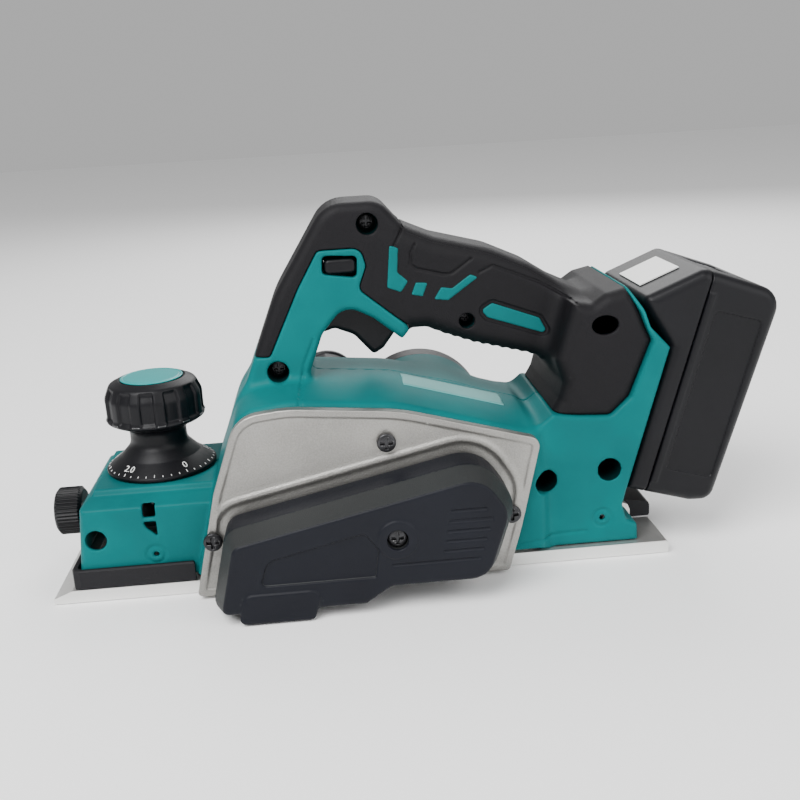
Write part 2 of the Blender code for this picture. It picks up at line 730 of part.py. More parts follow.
def make_drum():
    """Cutter drum with its shaft ends, two knives, their clamp bars and bolts."""
    centre = (DRUM_X, 0, DRUM_Z)
    profile = [(0, -70.0), (5.0, -70.0), (5.0, -43.6), (7.5, -43.6), (7.5, -41.4),
               (DRUM_R, -41.4), (DRUM_R, 41.4), (7.5, 41.4), (7.5, 43.6),
               (5.0, 43.6), (5.0, 50.3), (0, 50.3)]
    drum = turned("cutter_drum", profile, centre, "Y", milled(), 24)
    pieces = [drum]
    for number, side in ((1, 1.0), (2, -1.0)):
        def spot(across, along):
            """Corner on the drum, mirrored through its axis for the second knife."""
            return (DRUM_X + side * across, DRUM_Z + side * along)
        seat = [Vector(spot(*p)) for p in ((-7.0, 12.0), (4.4, 12.0), (4.4, 30.0), (-7.0, 30.0))]
        cut(drum, slab("seat", seat, -45.0, 45.0, milled()))
        tip = math.sqrt(CUT_R ** 2 - 4.1 ** 2)
        knife = [Vector(spot(*p)) for p in ((2.6, 12.3), (4.1, 12.3), (4.1, tip), (2.6, tip - 1.8))]
        bar = [Vector(spot(*p)) for p in ((-6.7, 12.3), (2.3, 12.3), (2.3, 21.6), (-6.7, 21.2))]
        pieces.append(slab(f"knife_{number}", knife, -DRUM_HALF, DRUM_HALF, steel()))
        clamp = slab(f"knife_clamp_{number}", bar, -DRUM_HALF + 1, DRUM_HALF - 1, dark_steel())
        x = DRUM_X - side * 2.2
        low, high = sorted((DRUM_Z + side * 17.0, DRUM_Z + side * 24.0))
        cut(clamp, rod("hole", (x, 0, 0), "Z", 3.4, low, high, steel(), 12))
        low, high = sorted((DRUM_Z + side * 17.3, DRUM_Z + side * 20.8))
        bolt = rod(f"knife_bolt_{number}", (x, 0, 0), "Z", 3.1, low, high, dark_steel(), 6)
        pieces += [clamp, bolt]
    return pieces


def make_pulley(name, x, z, radius, bore):
    low, high = BELT_Y0 - 1.5, BELT_Y1 + 1.5
    profile = [(bore, low), (radius + 2.4, low), (radius + 2.4, low + 1.0), (radius, low + 1.1),
               (radius, high), (bore, high)]
    return turned(name, profile, (x, 0, z), "Y", steel(), 20, ring=True)


def make_belt():
    """Flat belt round the two pulleys, as the closed loop it runs in."""
    span = Vector((MOTOR_X - DRUM_X, MOTOR_Z - DRUM_Z))
    tilt = math.atan2(span.y, span.x)
    spread = math.acos((DRUM_PULLEY_R - MOTOR_PULLEY_R) / span.length)

    def loop(extra):
        path = []
        steps = 14
        for k in range(steps + 1):
            angle = tilt + spread + (2 * math.pi - 2 * spread) * k / steps
            reach = DRUM_PULLEY_R + extra
            path.append(Vector((DRUM_X + reach * math.cos(angle),
                                DRUM_Z + reach * math.sin(angle))))
        for k in range(steps + 1):
            angle = tilt - spread + 2 * spread * k / steps
            reach = MOTOR_PULLEY_R + extra
            path.append(Vector((MOTOR_X + reach * math.cos(angle),
                                MOTOR_Z + reach * math.sin(angle))))
        return path

    belt = slab("drive_belt", loop(GAP + BELT_T), BELT_Y0, BELT_Y1, rubber())
    return cut(belt, slab("inside", loop(GAP + 0.05), BELT_Y0 - 1, BELT_Y1 + 1, rubber()))


def make_motor():
    """Motor: can, stator, rotor on its shaft, fan, bearings and end cover."""
    centre = (MOTOR_X, 0, MOTOR_Z)
    hoop("motor_can", centre, "Y", 25.0, 27.5, -24.0, 42.0, steel(), 24)
    hoop("stator", centre, "Y", 16.2, 24.7, -18.0, 30.0, copper(), 24)
    shaft = rod("motor_shaft", centre, "Y", 4.0, -70.0, 66.0, steel())
    rotor = hoop("rotor", centre, "Y", 4.3, 15.6, -18.0, 30.0, dark_steel(), 18)
    fan_profile = [(4.3, -38.5), (23.0, -38.5), (24.5, -30.0), (4.3, -30.0)]
    fan = turned("cooling_fan", fan_profile, centre, "Y", black(), 24, ring=True)
    for k in range(6):
        angle = 2 * math.pi * k / 6
        x = MOTOR_X + 19.5 * math.cos(angle)
        z = MOTOR_Z + 19.5 * math.sin(angle)
        cut(fan, rod("gap", (x, 0, z), "Y", 5.0, -42.0, -32.0, black(), 8))
    pulley = make_pulley("motor_pulley", MOTOR_X, MOTOR_Z, MOTOR_PULLEY_R, 4.3)
    make_bearing("motor_bearing_near", MOTOR_X, MOTOR_Z, -49.0, -43.0, 4.3, 11.0)
    make_bearing("motor_bearing_far", MOTOR_X, MOTOR_Z, 60.5, 66.5, 4.3, 11.0)
    return [shaft, rotor, fan, pulley]


def make_motor_cover():
    """Round end cover on the far side, with cooling slots."""
    centre = (MOTOR_X, 0, MOTOR_Z)
    profile = [(31.0, 58.3), (35.6, 58.3), (35.6, 69.0), (33.0, 74.5), (28.0, 76.5), (0, 76.5),
               (0, 74.0), (27.0, 74.0), (31.0, 71.0)]
    cover = turned("motor_cover", profile, centre, "Y", black(), 20, ring=True)
    join(cover, hoop("hub", centre, "Y", 11.3, 14.0, 60.5, 75.0, black(), 18))
    for k in range(4):
        z = MOTOR_Z - 15.0 + 10.0 * k
        cut(cover, box("vent", (MOTOR_X - 19.0, 70.0, z - 1.4),
                       (MOTOR_X - 15.0 + 34.0, 80.0, z + 1.4), black()))
    return cover


def make_chip_nozzle():
    """Open duct that throws the chips out on the far side."""
    x, z, radius = NOZZLE
    profile = [(radius - 2.5, 44.2), (radius + 1.6, 44.2), (radius + 1.6, 47.0), (radius, 47.4),
               (radius - 0.6, 74.0), (radius + 0.6, 74.2), (radius + 0.6, 76.6),
               (radius - 3.0, 76.6)]
    return turned("chip_nozzle", profile, (x, 0, z), "Y", black(), 20, ring=True)


# ---- depth adjustment ---------------------------------------------------
def make_depth_knob():
    """Grip head, waist and graduated disc in one moulding, with its teal cap."""
    centre = (KNOB_X, 0, 0)

    def lobes(angle, along):
        """Twelve shallow flutes round the gripping height of the head."""
        if 78.5 < along < 93.0:
            return 1.0 - 0.028 * (1 + math.cos(12 * angle))
        return 1.0

    profile = [
        (4.4, 50.4), (26.3, 50.4), (26.3, 53.2), (19.0, 56.4), (13.6, 62.0), (13.4, 70.5),
        (20.5, 74.0), (23.3, 78.8), (23.2, 86.0), (21.0, 91.5), (15.6, 95.0), (15.3, 94.4),
        (4.4, 94.4),
    ]
    knob = turned("depth_knob", profile, centre, "Z", black(), 24, ring=True, ripple=lobes)
    cap = turned("knob_cap", [(0, 94.7), (14.8, 94.7), (14.8, 95.4), (0, 95.7)],
                 centre, "Z", teal(), 24)
    spindle = rod("depth_spindle", centre, "Z", 4.0, 10.5, 94.0, steel())
    return [knob, cap, spindle]


def make_depth_spring():
    """Coil spring that presses the front base down against the thread."""
    turns, per_turn, sides = 4, 10, 5
    low, high, coil, wire = 27.6, 46.0, 7.2, 0.8
    rings = []
    for k in range(turns * per_turn + 1):
        angle = 2 * math.pi * k / per_turn
        z = low + (high - low) * k / (turns * per_turn)
        ring = []
        for m in range(sides):
            turn = 2 * math.pi * m / sides
            reach = coil + wire * math.cos(turn)
            ring.append((KNOB_X + reach * math.cos(angle), reach * math.sin(angle),
                         z + wire * math.sin(turn)))
        rings.append(ring)
    return loft("depth_spring", rings, steel())


def make_thumb_knob():
    """Knurled clamp knob for the guide rod, on its threaded stud."""
    def ribs(angle, along):
        return 1.0 - 0.03 * (1 + math.cos(18 * angle))

    profile = [(2.0, -155.4), (9.6, -155.4), (11.4, -157.0), (11.4, -167.2),
               (10.0, -168.6), (2.0, -168.6)]
    knob = turned("thumb_knob", profile, (0, 0, THUMB_Z), "X", black(), 36, ring=True,
                  ripple=lambda a, h: ribs(a, h) if -167.5 < h < -156.5 else 1.0)
    stud = rod("thumb_stud", (0, 0, THUMB_Z), "X", 1.7, -166.0, -156.0, steel(), 12)
    neck = rod("neck", (0, 0, THUMB_Z), "X", 3.0, -155.1, -148.9, steel(), 12)
    join(stud, rod("root", (0, 0, THUMB_Z), "X", 1.7, -156.5, -154.5, steel(), 12), neck)
    return [knob, stud]


# ---- controls -----------------------------------------------------------
def make_trigger():
    """Squeeze trigger with its moulded pivot stubs at the front of the grip."""
    x, z = TRIGGER_PIVOT
    side = [
        (-31.6, 112.0, 1), (-26.0, 113.6, 5), (-17.0, 109.8, 8), (-11.5, 103.2, 6),
        (-8.2, 99.6, 2), (-3.4, 102.4, 4), (2.2, 109.6, 2), (0.5, 121.0, 3),
        (-14.0, 125.0, 3), (-28.0, 125.5, 3), (-32.3, 120.5, 3),
    ]
    trigger = layered("trigger", side, [
        (1.8, -7.6), (0, -6.2), (0, 6.2), (1.8, 7.6)], black())
    return join(trigger, rod("stubs", (x, 0, z), "Y", 2.0, -10.5, 10.5, black(), 12))


def make_switch():
    """Switch block behind the trigger."""
    box("switch_body", (-8.0, -8.0, 127.6), (12.0, 8.0, 139.5), black())


def make_lock_button():
    """Push-through lock-off bar above the trigger."""
    side = [(-28.9, 141.3, 2.4), (-28.9, 148.0, 2.4), (-14.6, 148.0, 2.4),
            (-14.6, 141.3, 2.4)]
    return layered("lock_button", side, [
        (1.4, -19.0), (0, -17.8), (0, 17.8), (1.4, 19.0)], black())


# ---- battery ------------------------------------------------------------
def battery_outline():
    rail = GAP + 0.1
    return [
        rail_point(1.0, rail, 1), rail_point(72.6, rail), rail_point(86.0, -13.6, 2),
        rail_point(91.0, -18.5, 3), rail_point(110.2, 6.0, 5), rail_point(107.4, 45.6, 10),
        rail_point(3.5, 43.4, 8), rail_point(1.0, 33.0, 3),
    ]


def make_battery():
    """Battery pack: two case halves, cell pack, label and release button."""
    levels = [(5.0, -BATTERY_HALF), (2.0, -36.0), (0, -32.0), (0, 32.0), (2.0, 36.0),
              (5.0, BATTERY_HALF)]
    seam_low, seam_high = 10.0 - GAP / 2, 10.0 + GAP / 2
    front = layered("battery_case_front", battery_outline(), levels, black())
    rear = layered("battery_case_rear", battery_outline(), levels, black())
    rear_half = [Vector(rail_point(*p)[:2]) for p in (
        (-20, seam_low), (130, seam_low), (130, 80), (-20, 80))]
    front_half = [Vector(rail_point(*p)[:2]) for p in (
        (-20, seam_high), (-20, -60), (130, -60), (130, seam_high))]
    cut(front, slab("rear_half", rear_half, -50, 50, black()))
    cut(rear, slab("front_half", front_half, -50, 50, black()))
    room = [Vector(rail_point(*p)[:2]) for p in (
        (5.0, 3.2), (5.0, 41.2), (100.0, 43.0), (100.0, 3.2))]
    cut(front, slab("room", room, -33.0, 33.0, black()))
    cut(rear, slab("room", room, -33.0, 33.0, black()))
    button_seat = [Vector(rail_point(*p)[:2]) for p in (
        (104.5, 13.0), (104.5, 31.5), (116.0, 31.5), (116.0, 13.0))]
    cut(rear, slab("button_seat", button_seat, -14.5, 14.5, black()))
    side = [rail_point(104.9, 14.0, 1), rail_point(104.9, 27.0, 1),
            rail_point(108.0, 27.0, 1), rail_point(108.6, 14.0, 1)]
    button = slab("battery_button", side, -13.8, 13.8, black())
    cells = make_cells()
    label = slab("battery_label", [Vector(rail_point(*p)[:2]) for p in (
        label_point(5.0, GAP), label_point(25.0, GAP), label_point(25.0, 0.8),
        label_point(5.0, 0.8))], -16.5, 16.5, pale_label())
    return [front, rear, cells, label], button


def label_point(along, off):
    """Point above the battery's sloping front-top face, in rail coordinates."""
    start = Vector((91.0, -18.5))
    end = Vector((110.2, 6.0))
    run = (end - start).normalized()
    spot = start + run * along + Vector((run.y, -run.x)) * off
    return spot.x, spot.y


def make_cells():
    """Ten round cells side by side, held together by their end plates."""
    low, high = 6.0, 39.6
    frame = [Vector(rail_point(*p)[:2]) for p in ((6.5, low), (6.5, high), (98.5, high),
                                                  (98.5, low))]
    pack = slab("cell_pack", frame, -1.5, 1.5, copper())
    for row in range(5):
        for column in range(2):
            x, z = rail_point(16.0 + 18.6 * row, 13.2 + 18.4 * column)
            join(pack, rod("cell", (x, 0, z), "Y", 9.0, -32.4, 32.4, copper(), 10))
    return pack


def make_terminals():
    """Terminal block at the rear wall, facing the battery."""
    side = [Vector(rail_point(*p)[:2]) for p in ((40, -13), (62, -13), (62, -5.2), (40, -5.2))]
    slab("terminal_block", side, -22.0, 22.0, black())


def make_top_label():
    """Blank rating strip on the crowned top of the body."""
    strip = [(4.0, 0.0), (52.0, 0.0)]
    points = []
    outline = rounded(body_outline(7.5))
    for x, _ in strip:
        z = top_height(outline, x)
        points.append((x, z))
    (x0, z0), (x1, z1) = points
    side = [Vector(p) for p in ((x0, z0 + GAP + 0.5), (x1, z1 + GAP + 0.9),
                                (x1, z1 + GAP + 1.4), (x0, z0 + GAP + 1.0))]
    return slab("top_label", side, -20.0, -4.0, pale_label())


def top_height(outline, x):
    """Height of an outline's upper edge above x."""
    best = 0.0
    count = len(outline)
    for i in range(count):
        a, b = outline[i], outline[(i + 1) % count]
        if min(a.x, b.x) <= x <= max(a.x, b.x) and a.x != b.x:
            best = max(best, a.y + (b.y - a.y) * (x - a.x) / (b.x - a.x))
    return best


def main():
    for item in list(bpy.data.objects):
        bpy.data.objects.remove(item)
    make_housing()
    make_grips()
    make_housing_screws()
    front = [make_front_base(), make_base_shroud()]
    make_rear_base()
    foot, foot_pin = make_foot()
    make_belt_bracket()
    make_belt_cover()
    make_plate_screws()
    make_bearing_plate()
    make_bearing("drum_bearing_near", DRUM_X, DRUM_Z, -49.8, -44.0, 5.3, 13.0)
    make_bearing("drum_bearing_far", DRUM_X, DRUM_Z, 44.4, 50.4, 5.3, 13.0)
    drum = make_drum()
    drum.append(make_pulley("drum_pulley", DRUM_X, DRUM_Z, DRUM_PULLEY_R, 5.3))
    make_belt()
    rotor = make_motor()
    make_motor_cover()
    make_chip_nozzle()
    knob = make_depth_knob()
    make_depth_spring()
    thumb = make_thumb_knob()
    trigger = make_trigger()
    make_switch()
    lock = make_lock_button()
    battery, button = make_battery()
    make_terminals()
    make_top_label()
    pivot("front_base_axis", KNOB_X, 0, 0, front)
    pivot("drum_axis", DRUM_X, 0, DRUM_Z, drum)
    pivot("motor_axis", MOTOR_X, 0, MOTOR_Z, rotor)
    pivot("depth_knob_axis", KNOB_X, 0, NOSE_TOP, knob)
    pivot("thumb_axis", -155.0, 0, THUMB_Z, thumb)
    pivot("trigger_axis", TRIGGER_PIVOT[0], 0, TRIGGER_PIVOT[1], [trigger])
    pivot("lock_axis", -21.7, 0, 144.6, [lock])
    pivot("foot_axis", FOOT_PIVOT[0], 0, FOOT_PIVOT[1], [foot])
    pivot("battery_axis", RAIL_X, 0, RAIL_Z, battery + [button])


main()
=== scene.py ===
"""Looks of the cordless hand planer: moulded shells, rubber skins and finishes.

Every length is in millimetres in the frame's own axes: +X to the battery, +Z up,
-Y to the belt-cover side. mesh_object() turns them into metres. The moulded
pieces are solid fields, negative inside, sampled on a grid and skinned.
"""

import math

import bmesh
import bpy
import numpy as np
from mathutils import Matrix, Vector


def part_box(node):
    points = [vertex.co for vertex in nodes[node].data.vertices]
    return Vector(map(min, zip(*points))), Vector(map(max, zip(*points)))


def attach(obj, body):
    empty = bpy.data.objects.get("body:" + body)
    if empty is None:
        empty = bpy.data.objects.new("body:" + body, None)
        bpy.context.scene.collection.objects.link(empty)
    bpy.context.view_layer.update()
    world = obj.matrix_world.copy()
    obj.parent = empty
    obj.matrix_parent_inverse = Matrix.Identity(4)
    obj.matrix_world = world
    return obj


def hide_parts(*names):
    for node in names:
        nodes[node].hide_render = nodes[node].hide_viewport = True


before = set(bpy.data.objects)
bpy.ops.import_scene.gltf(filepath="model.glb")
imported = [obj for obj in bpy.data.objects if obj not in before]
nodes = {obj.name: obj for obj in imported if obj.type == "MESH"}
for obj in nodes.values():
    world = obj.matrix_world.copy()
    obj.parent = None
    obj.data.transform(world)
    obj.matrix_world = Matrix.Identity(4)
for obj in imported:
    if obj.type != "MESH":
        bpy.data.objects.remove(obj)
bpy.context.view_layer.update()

MM = 0.001
FINE = 0.8        # grid step of the large shells
SMALL = 0.5       # grid step of the small pieces
CASE = 0.6        # grid step of the battery case
SCREW = 0.2       # grid step of the screws

# ---- driving dimensions, read from the frame where it has them ----


def middle(node, axis):
    low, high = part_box(node)
    return (low[axis] + high[axis]) / 2 / MM


def edge(node, axis, side):
    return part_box(node)[side][axis] / MM


DRUM = (middle("drum_bearing_near", 0), middle("drum_bearing_near", 2))
MOTOR = (middle("motor_bearing_near", 0), middle("motor_bearing_near", 2))
KNOB_X = middle("depth_knob", 0)
THUMB_Z = middle("thumb_knob", 2)
BODY_HALF = -edge("housing_left", 1, 0)
NOZZLE = (middle("chip_nozzle", 0), middle("chip_nozzle", 2))
PLATE_Y = edge("belt_bracket", 1, 1)
COVER_Y = edge("belt_cover", 1, 0) + 1.0
NOSE_HALF = 39.4                         # half width of the nose and of the rear block
NOSE_FRONT = -153.0
NOSE_FOOT = 8.7                          # height of the nose's lower edge
BATTERY_HALF = edge("battery_case_front", 1, 1)
DIAL_LOW = (26.3, 51.8)                  # radius and height of the disc's lower edge
DIAL_HIGH = (19.0, 57.2)                 # and of its upper edge, at the waist
DIAL_TICKS = 40
DIAL_FIGURES = ("2.0", "1.5", "1.0", "0.5", "0")
LOBES = 12                               # sunk panels round the depth knob's head
HEAD_SIDE = (76.0, 92.4)                 # heights between which they lie
RAIL = (106.0, 31.0)                     # foot of the battery rails
RAIL_LEAN = math.radians(16.2)           # and their lean to the rear
HEAD_HOLE = (96.2, 112.7)                # centre of the oval hole in the battery head
NOSE_PIN = (-116.4, 19.8)                # small pin holes, each with a ring round it
REAR_PIN = (94.3, 19.4)

COVER_SCREW = (middle("cover_screw", 0), middle("cover_screw", 2))
PLATE_NAMES = ("bracket_screw_front", "bracket_screw_top", "bracket_screw_rear")
PLATE_SCREWS = [(middle(name, 0), middle(name, 2)) for name in PLATE_NAMES]
HEAD_DEPTH = 2.6                         # from the top of a screw's head to its seat
HOUSING_SCREWS = {           # half width of the skin at each screw, and head radius
    "screw_leg": (19.4, 4.2), "screw_handle_top": (18.6, 4.2), "screw_grip": (18.4, 3.0),
    "screw_rear_front": (39.4, 4.7), "screw_rear_low": (39.4, 4.7),
}
SCREW_SEATS = [(middle(name, 0), middle(name, 2), *size) for name, size in HOUSING_SCREWS.items()]


# ---- outlines in the XZ plane, as corners (x, z, radius) ----
def rounded(corners, steps=6):
    """Points along an outline whose corners (a, b, radius) become arcs."""
    points = []
    for i, (a, b, *radius) in enumerate(corners):
        here = Vector((a, b))
        if not radius:
            points.append(here)
            continue
        back = Vector(corners[i - 1][:2]) - here
        ahead = Vector(corners[(i + 1) % len(corners)][:2]) - here
        room = 0.49 * min(back.length, ahead.length)
        back.normalize()
        ahead.normalize()
        half = back.angle(ahead) / 2
        reach = min(radius[0] / math.tan(half), room)
        centre = here + (back + ahead).normalized() * reach / math.cos(half)
        first = here + back * reach - centre
        last = here + ahead * reach - centre
        turn = first.angle(last)
        for k in range(steps + 1):
            share = k / steps
            points.append(centre + (first * math.sin((1 - share) * turn)
                                    + last * math.sin(share * turn)) / math.sin(turn))
    return points


def rail_axes(g):
    """Distances up the battery rails and out from them."""
    x, z = g.x - RAIL[0], g.z - RAIL[1]
    return (x * math.sin(RAIL_LEAN) + z * math.cos(RAIL_LEAN),
            x * math.cos(RAIL_LEAN) - z * math.sin(RAIL_LEAN))


def rail_point(up, out, *radius):
    """Corner given by its distance up the battery rails and out from them."""
    x = RAIL[0] + up * math.sin(RAIL_LEAN) + out * math.cos(RAIL_LEAN)
    z = RAIL[1] + up * math.cos(RAIL_LEAN) - out * math.sin(RAIL_LEAN)
    return (x, z, *radius)


BODY = [
    (-102.0, -8.0), (-85.5, 50.5, 30), (-72.0, 83.5, 14), (-49.0, 86.6, 40),
    (0.0, 82.0, 60), (62.0, 63.5, 5), (66.0, 30.0, 5), (66.0, -8.0),
]
NOSE_SIDE = [(NOSE_FRONT, NOSE_FOOT), (-149.2, 43.5, 2), (-146.2, 46.4), (-144.4, 47.0),
             (-143.4, 50.0, 1), (-80.0, 50.0), (-80.0, NOSE_FOOT)]
NOSE_END = [(-NOSE_HALF, NOSE_FOOT), (-NOSE_HALF, 43.5, 2), (-31.6, 46.4), (-29.6, 47.0),
            (-28.2, 50.0, 1), (28.2, 50.0, 1), (29.6, 47.0), (31.6, 46.4),
            (NOSE_HALF, 43.5, 2), (NOSE_HALF, NOSE_FOOT)]
LEG = [
    (-79.0, 62.0), (-74.6, 79.9, 20), (-52.9, 132.6, 60), (-27.0, 172.8, 16),
    (-2.0, 172.8, 10), (8.3, 160.6, 3), (4.5, 150.0), (6.0, 125.0),
    (8.4, 112.4, 1), (5.0, 108.6, 1), (-8.0, 119.5, 8), (-21.0, 126.5, 12),
    (-32.0, 113.5, 9), (-38.5, 97.0, 20), (-43.5, 76.0), (-45.0, 62.0),
]
PATCH = [
    (-82.0, 56.0), (-82.0, 104.0), (-66.3, 104.6, 1), (-56.8, 104.5, 2),
    (-41.5, 135.5), (-31.5, 152.2, 3), (-12.0, 152.2, 5), (-10.0, 144.0, 4),
    (-14.2, 133.5, 4), (8.5, 114.2, 1), (9.0, 100.0), (-30.0, 56.0),
]
WINDOW = [(-30.2, 141.4, 2), (-29.6, 150.0, 2), (-13.6, 149.0, 2), (-14.4, 138.8, 2)]
LOCK_BAR = [(-28.9, 141.3, 2.4), (-28.9, 148.0, 2.4), (-14.6, 148.0, 2.4),
            (-14.6, 141.3, 2.4)]
GRIP = [
    (-8.0, 161.5), (9.5, 160.4, 4), (22.0, 154.8, 12), (48.0, 147.8, 30), (66.0, 139.4, 30),
    (96.0, 119.5), (88.0, 88.0), (73.0, 94.2, 6), (40.0, 103.2, 20),
    (26.0, 108.4, 8), (17.0, 112.4, 6), (6.0, 112.4, 2), (-8.0, 128.0),
]
HEAD = [
    (69.4, 68.4, 1), (75.2, 78.5, 4), (77.3, 86.0, 6), (73.7, 97.0, 5),
    (82.0, 124.0, 1), (90.9, 122.4, 3), (97.5, 126.8, 4), (106.9, 128.8, 1),
    (113.6, 118.6, 5), (116.8, 110.9, 4), (119.8, 104.5, 2), (109.0, 76.5, 2),
    (99.5, 67.0, 4), (84.0, 67.6, 6),
]
REAR = [
    (46.0, 6.8), (46.0, 58.0, 2), (69.5, 67.4, 2), (78.2, 76.8, 3),
    (80.3, 86.5, 4), (79.0, 97.0, 4), (87.0, 117.0, 3), (97.5, 122.9, 3),
    (105.5, 123.6, 2), (112.0, 115.0, 5), (114.5, 108.5, 4), (124.6, 100.5, 1),
    (104.6, 31.0), (103.0, 24.5, 1), (105.0, 16.0, 2), (110.0, 13.5, 1), (110.4, 6.8),
]
RIM = [
    (49.0, 6.3), (49.0, 55.0), (71.0, 72.5), (84.3, 70.6, 6), (98.5, 69.7, 4),
    (108.0, 78.3, 2), (118.0, 104.0, 2), (115.1, 110.2, 4), (112.3, 117.7, 6),
    (106.3, 128.4, 1), (107.5, 129.0), (114.2, 118.2, 5), (116.8, 110.7, 4),
    (126.0, 100.6, 1), (105.9, 31.0), (104.3, 24.5, 1), (106.5, 17.0, 2),
    (111.5, 14.5, 1), (111.9, 6.3),
]
RIM_END = [(-NOSE_HALF, -10.0), (-NOSE_HALF, 130.6, 17), (NOSE_HALF, 130.6, 17),
           (NOSE_HALF, -10.0)]
SLOTS = [
    [(-120.4, 38.2), (-120.4, 44.4), (-114.6, 44.4), (-114.6, 38.2)],
    [(-120.6, 36.2), (-114.8, 36.2), (-114.8, 28.6), (-119.6, 33.0)],
]
SEAMS = [
    [(44.0, 10.5), (66.0, 12.6), (86.6, 13.4)],
    [(-43.0, 78.0), (-44.5, 88.0), (-41.0, 101.0), (-36.0, 112.0)],
]
BRACKET = [
    (-98.6, 1.2, 2), (-86.2, 51.0, 40), (-73.3, 86.0, 16), (-50.0, 88.4, 60),
    (0.0, 83.6, 90), (63.6, 65.4, 5), (54.0, 24.0, 40), (47.5, 1.2, 2),
]
COVER = [
    (-90.3, 0.9, 7), (-80.6, 40.4, 9), (34.0, 65.0, 20), (48.0, 43.0, 14),
    (36.5, 8.2, 15), (-8.5, 8.2, 4), (-20.0, 0.9, 6),
]
COVER_STEP = [(-78.0, 0.5, 3), (-73.0, 14.0, 4), (-40.0, 14.0, 4), (-44.0, 0.5, 3)]
POCKET = [(-66.5, 17.6, 2), (-62.5, 29.0, 6), (-20.0, 38.5, 3), (-14.5, 30.0, 3),
          (-16.5, 17.6, 1)]
TRIGGER_PIN = (-28.0, 121.0)
TRIGGER = [
    (-31.6, 112.0, 1), (-26.0, 113.6, 5), (-17.0, 109.8, 8), (-11.5, 103.2, 6),
    (-8.2, 99.6, 2), (-3.4, 102.4, 4), (2.2, 109.6, 2), (0.5, 121.0, 3),
    (-14.0, 125.0, 3), (-28.0, 125.5, 3), (-32.3, 120.5, 3),
]
ACCENTS = [
    [(1.2, 152.8, 0.6), (5.2, 151.2, 0.6), (4.2, 140.2, 0.6), (9.0, 135.7, 0.6),
     (5.5, 130.9, 0.6), (-0.8, 133.6, 0.6)],
    [(12.5, 134.9, 0.5), (17.9, 134.4, 0.5), (15.4, 128.2, 0.5), (10.2, 129.4, 0.5)],
    [(20.6, 126.5, 0.5), (24.1, 131.9, 0.5), (29.2, 131.1, 0.5), (37.8, 137.0, 0.5),
     (41.4, 135.4, 0.5), (27.1, 125.6, 0.5)],
]
BADGE = [(41.9, 119.8, 2), (47.6, 123.2, 2), (70.1, 114.5, 3), (73.4, 108.0, 2),
         (70.9, 106.7, 2), (45.0, 115.8, 2)]
PANEL_LINE = [(12.9, 152.4), (10.9, 148.5), (10.4, 143.6), (12.9, 141.2), (26.2, 137.6),
              (29.6, 138.0), (38.6, 144.2)]
GRIP_LINE = [(42.1, 137.5), (48.4, 140.4), (70.6, 130.9), (83.7, 122.9)]
HUMP_LINE = [(9.0, 163.0), (6.4, 157.5), (3.0, 151.8)]
BATTERY = [
    rail_point(1.0, 0.4, 1), rail_point(72.6, 0.4), rail_point(86.0, -13.6, 2),
    rail_point(91.0, -18.5, 3), rail_point(110.2, 6.0, 5), rail_point(107.4, 45.6, 10),
    rail_point(3.5, 43.4, 8), rail_point(1.0, 33.0, 3),
]


# ---- solid fields ----
class Grid:
    """Regular sample points of a box, with the distances that fields need."""

    def __init__(self, low, high, step):
        self.low, self.step = low, step
        self.xs, self.ys, self.zs = (
            np.arange(a, b + step, step, dtype=np.float32) for a, b in zip(low, high))
        self.x = self.xs[:, None, None]
        self.y = self.ys[None, :, None]
        self.z = self.zs[None, None, :]

    def outline(self, corners):
        """Signed distance to an XZ outline, the same at every y."""
        return polygon_distance(rounded(corners), self.xs[:, None], self.zs[None, :])[:, None, :]


def polygon_distance(points, a, b):
    """Signed distance from the points (a, b) to a polygon, negative inside."""
    nearest = np.full(np.broadcast(a, b).shape, 1e9, dtype=np.float32)
    odd = np.zeros(nearest.shape, dtype=bool)
    for i, end in enumerate(points):
        start = points[i - 1]
        along = end - start
        size = along.length_squared
        if size < 1e-12:
            continue
        share = np.clip(((a - start.x) * along.x + (b - start.y) * along.y) / size, 0, 1)
        gap = (a - start.x - share * along.x) ** 2 + (b - start.y - share * along.y) ** 2
        nearest = np.minimum(nearest, gap)
        if start.y != end.y:
            crossing = (b < start.y) != (b < end.y)
            where = start.x + (b - start.y) * along.x / along.y
            odd ^= crossing & (a < where)
    return np.where(odd, -1, 1) * np.sqrt(nearest)


def both(a, b, soft=0.0):
    """What two fields share, with the edge between them softened."""
    if not soft:
        return np.maximum(a, b)
    mix = np.clip(0.5 - 0.5 * (b - a) / soft, 0, 1)
    return b + (a - b) * mix + soft * mix * (1 - mix)


def either(a, b, soft=0.0):
    """The union of two fields, with a fillet where they meet."""
    return -both(-a, -b, soft)


def without(a, b, soft=0.0):
    """The first field with the second cut out of it."""
    return both(a, -b, soft)


def prism(flat, side, soft):
    """Solid between an outline's distance and a sideways one, its edge rounded."""
    a = flat + soft
    b = side + soft
    return (np.minimum(np.maximum(a, b), 0)
            + np.sqrt(np.maximum(a, 0) ** 2 + np.maximum(b, 0) ** 2) - soft)


def bar(g, low, high, soft=0.6):
    """Box with rounded edges."""
    reach = [np.maximum(lo - v, v - hi) for v, lo, hi in zip((g.x, g.y, g.z), low, high)]
    return both(both(reach[0], reach[1], soft), reach[2], soft)


def tube(g, x, z, radius):
    """Endless cylinder along Y."""
    return np.sqrt((g.x - x) ** 2 + (g.z - z) ** 2) - radius


def lifted(flat, amount, step):
    """An outline's distance after the outline has moved up by amount."""
    whole, part = divmod(max(amount, 0.0) / step, 1)
    whole = int(whole)
    padded = np.pad(flat, ((0, 0), (0, 0), (whole + 1, 0)), mode="edge")
    high = flat.shape[2]
    return padded[:, :, 1:1 + high] * (1 - part) + padded[:, :, :high] * part


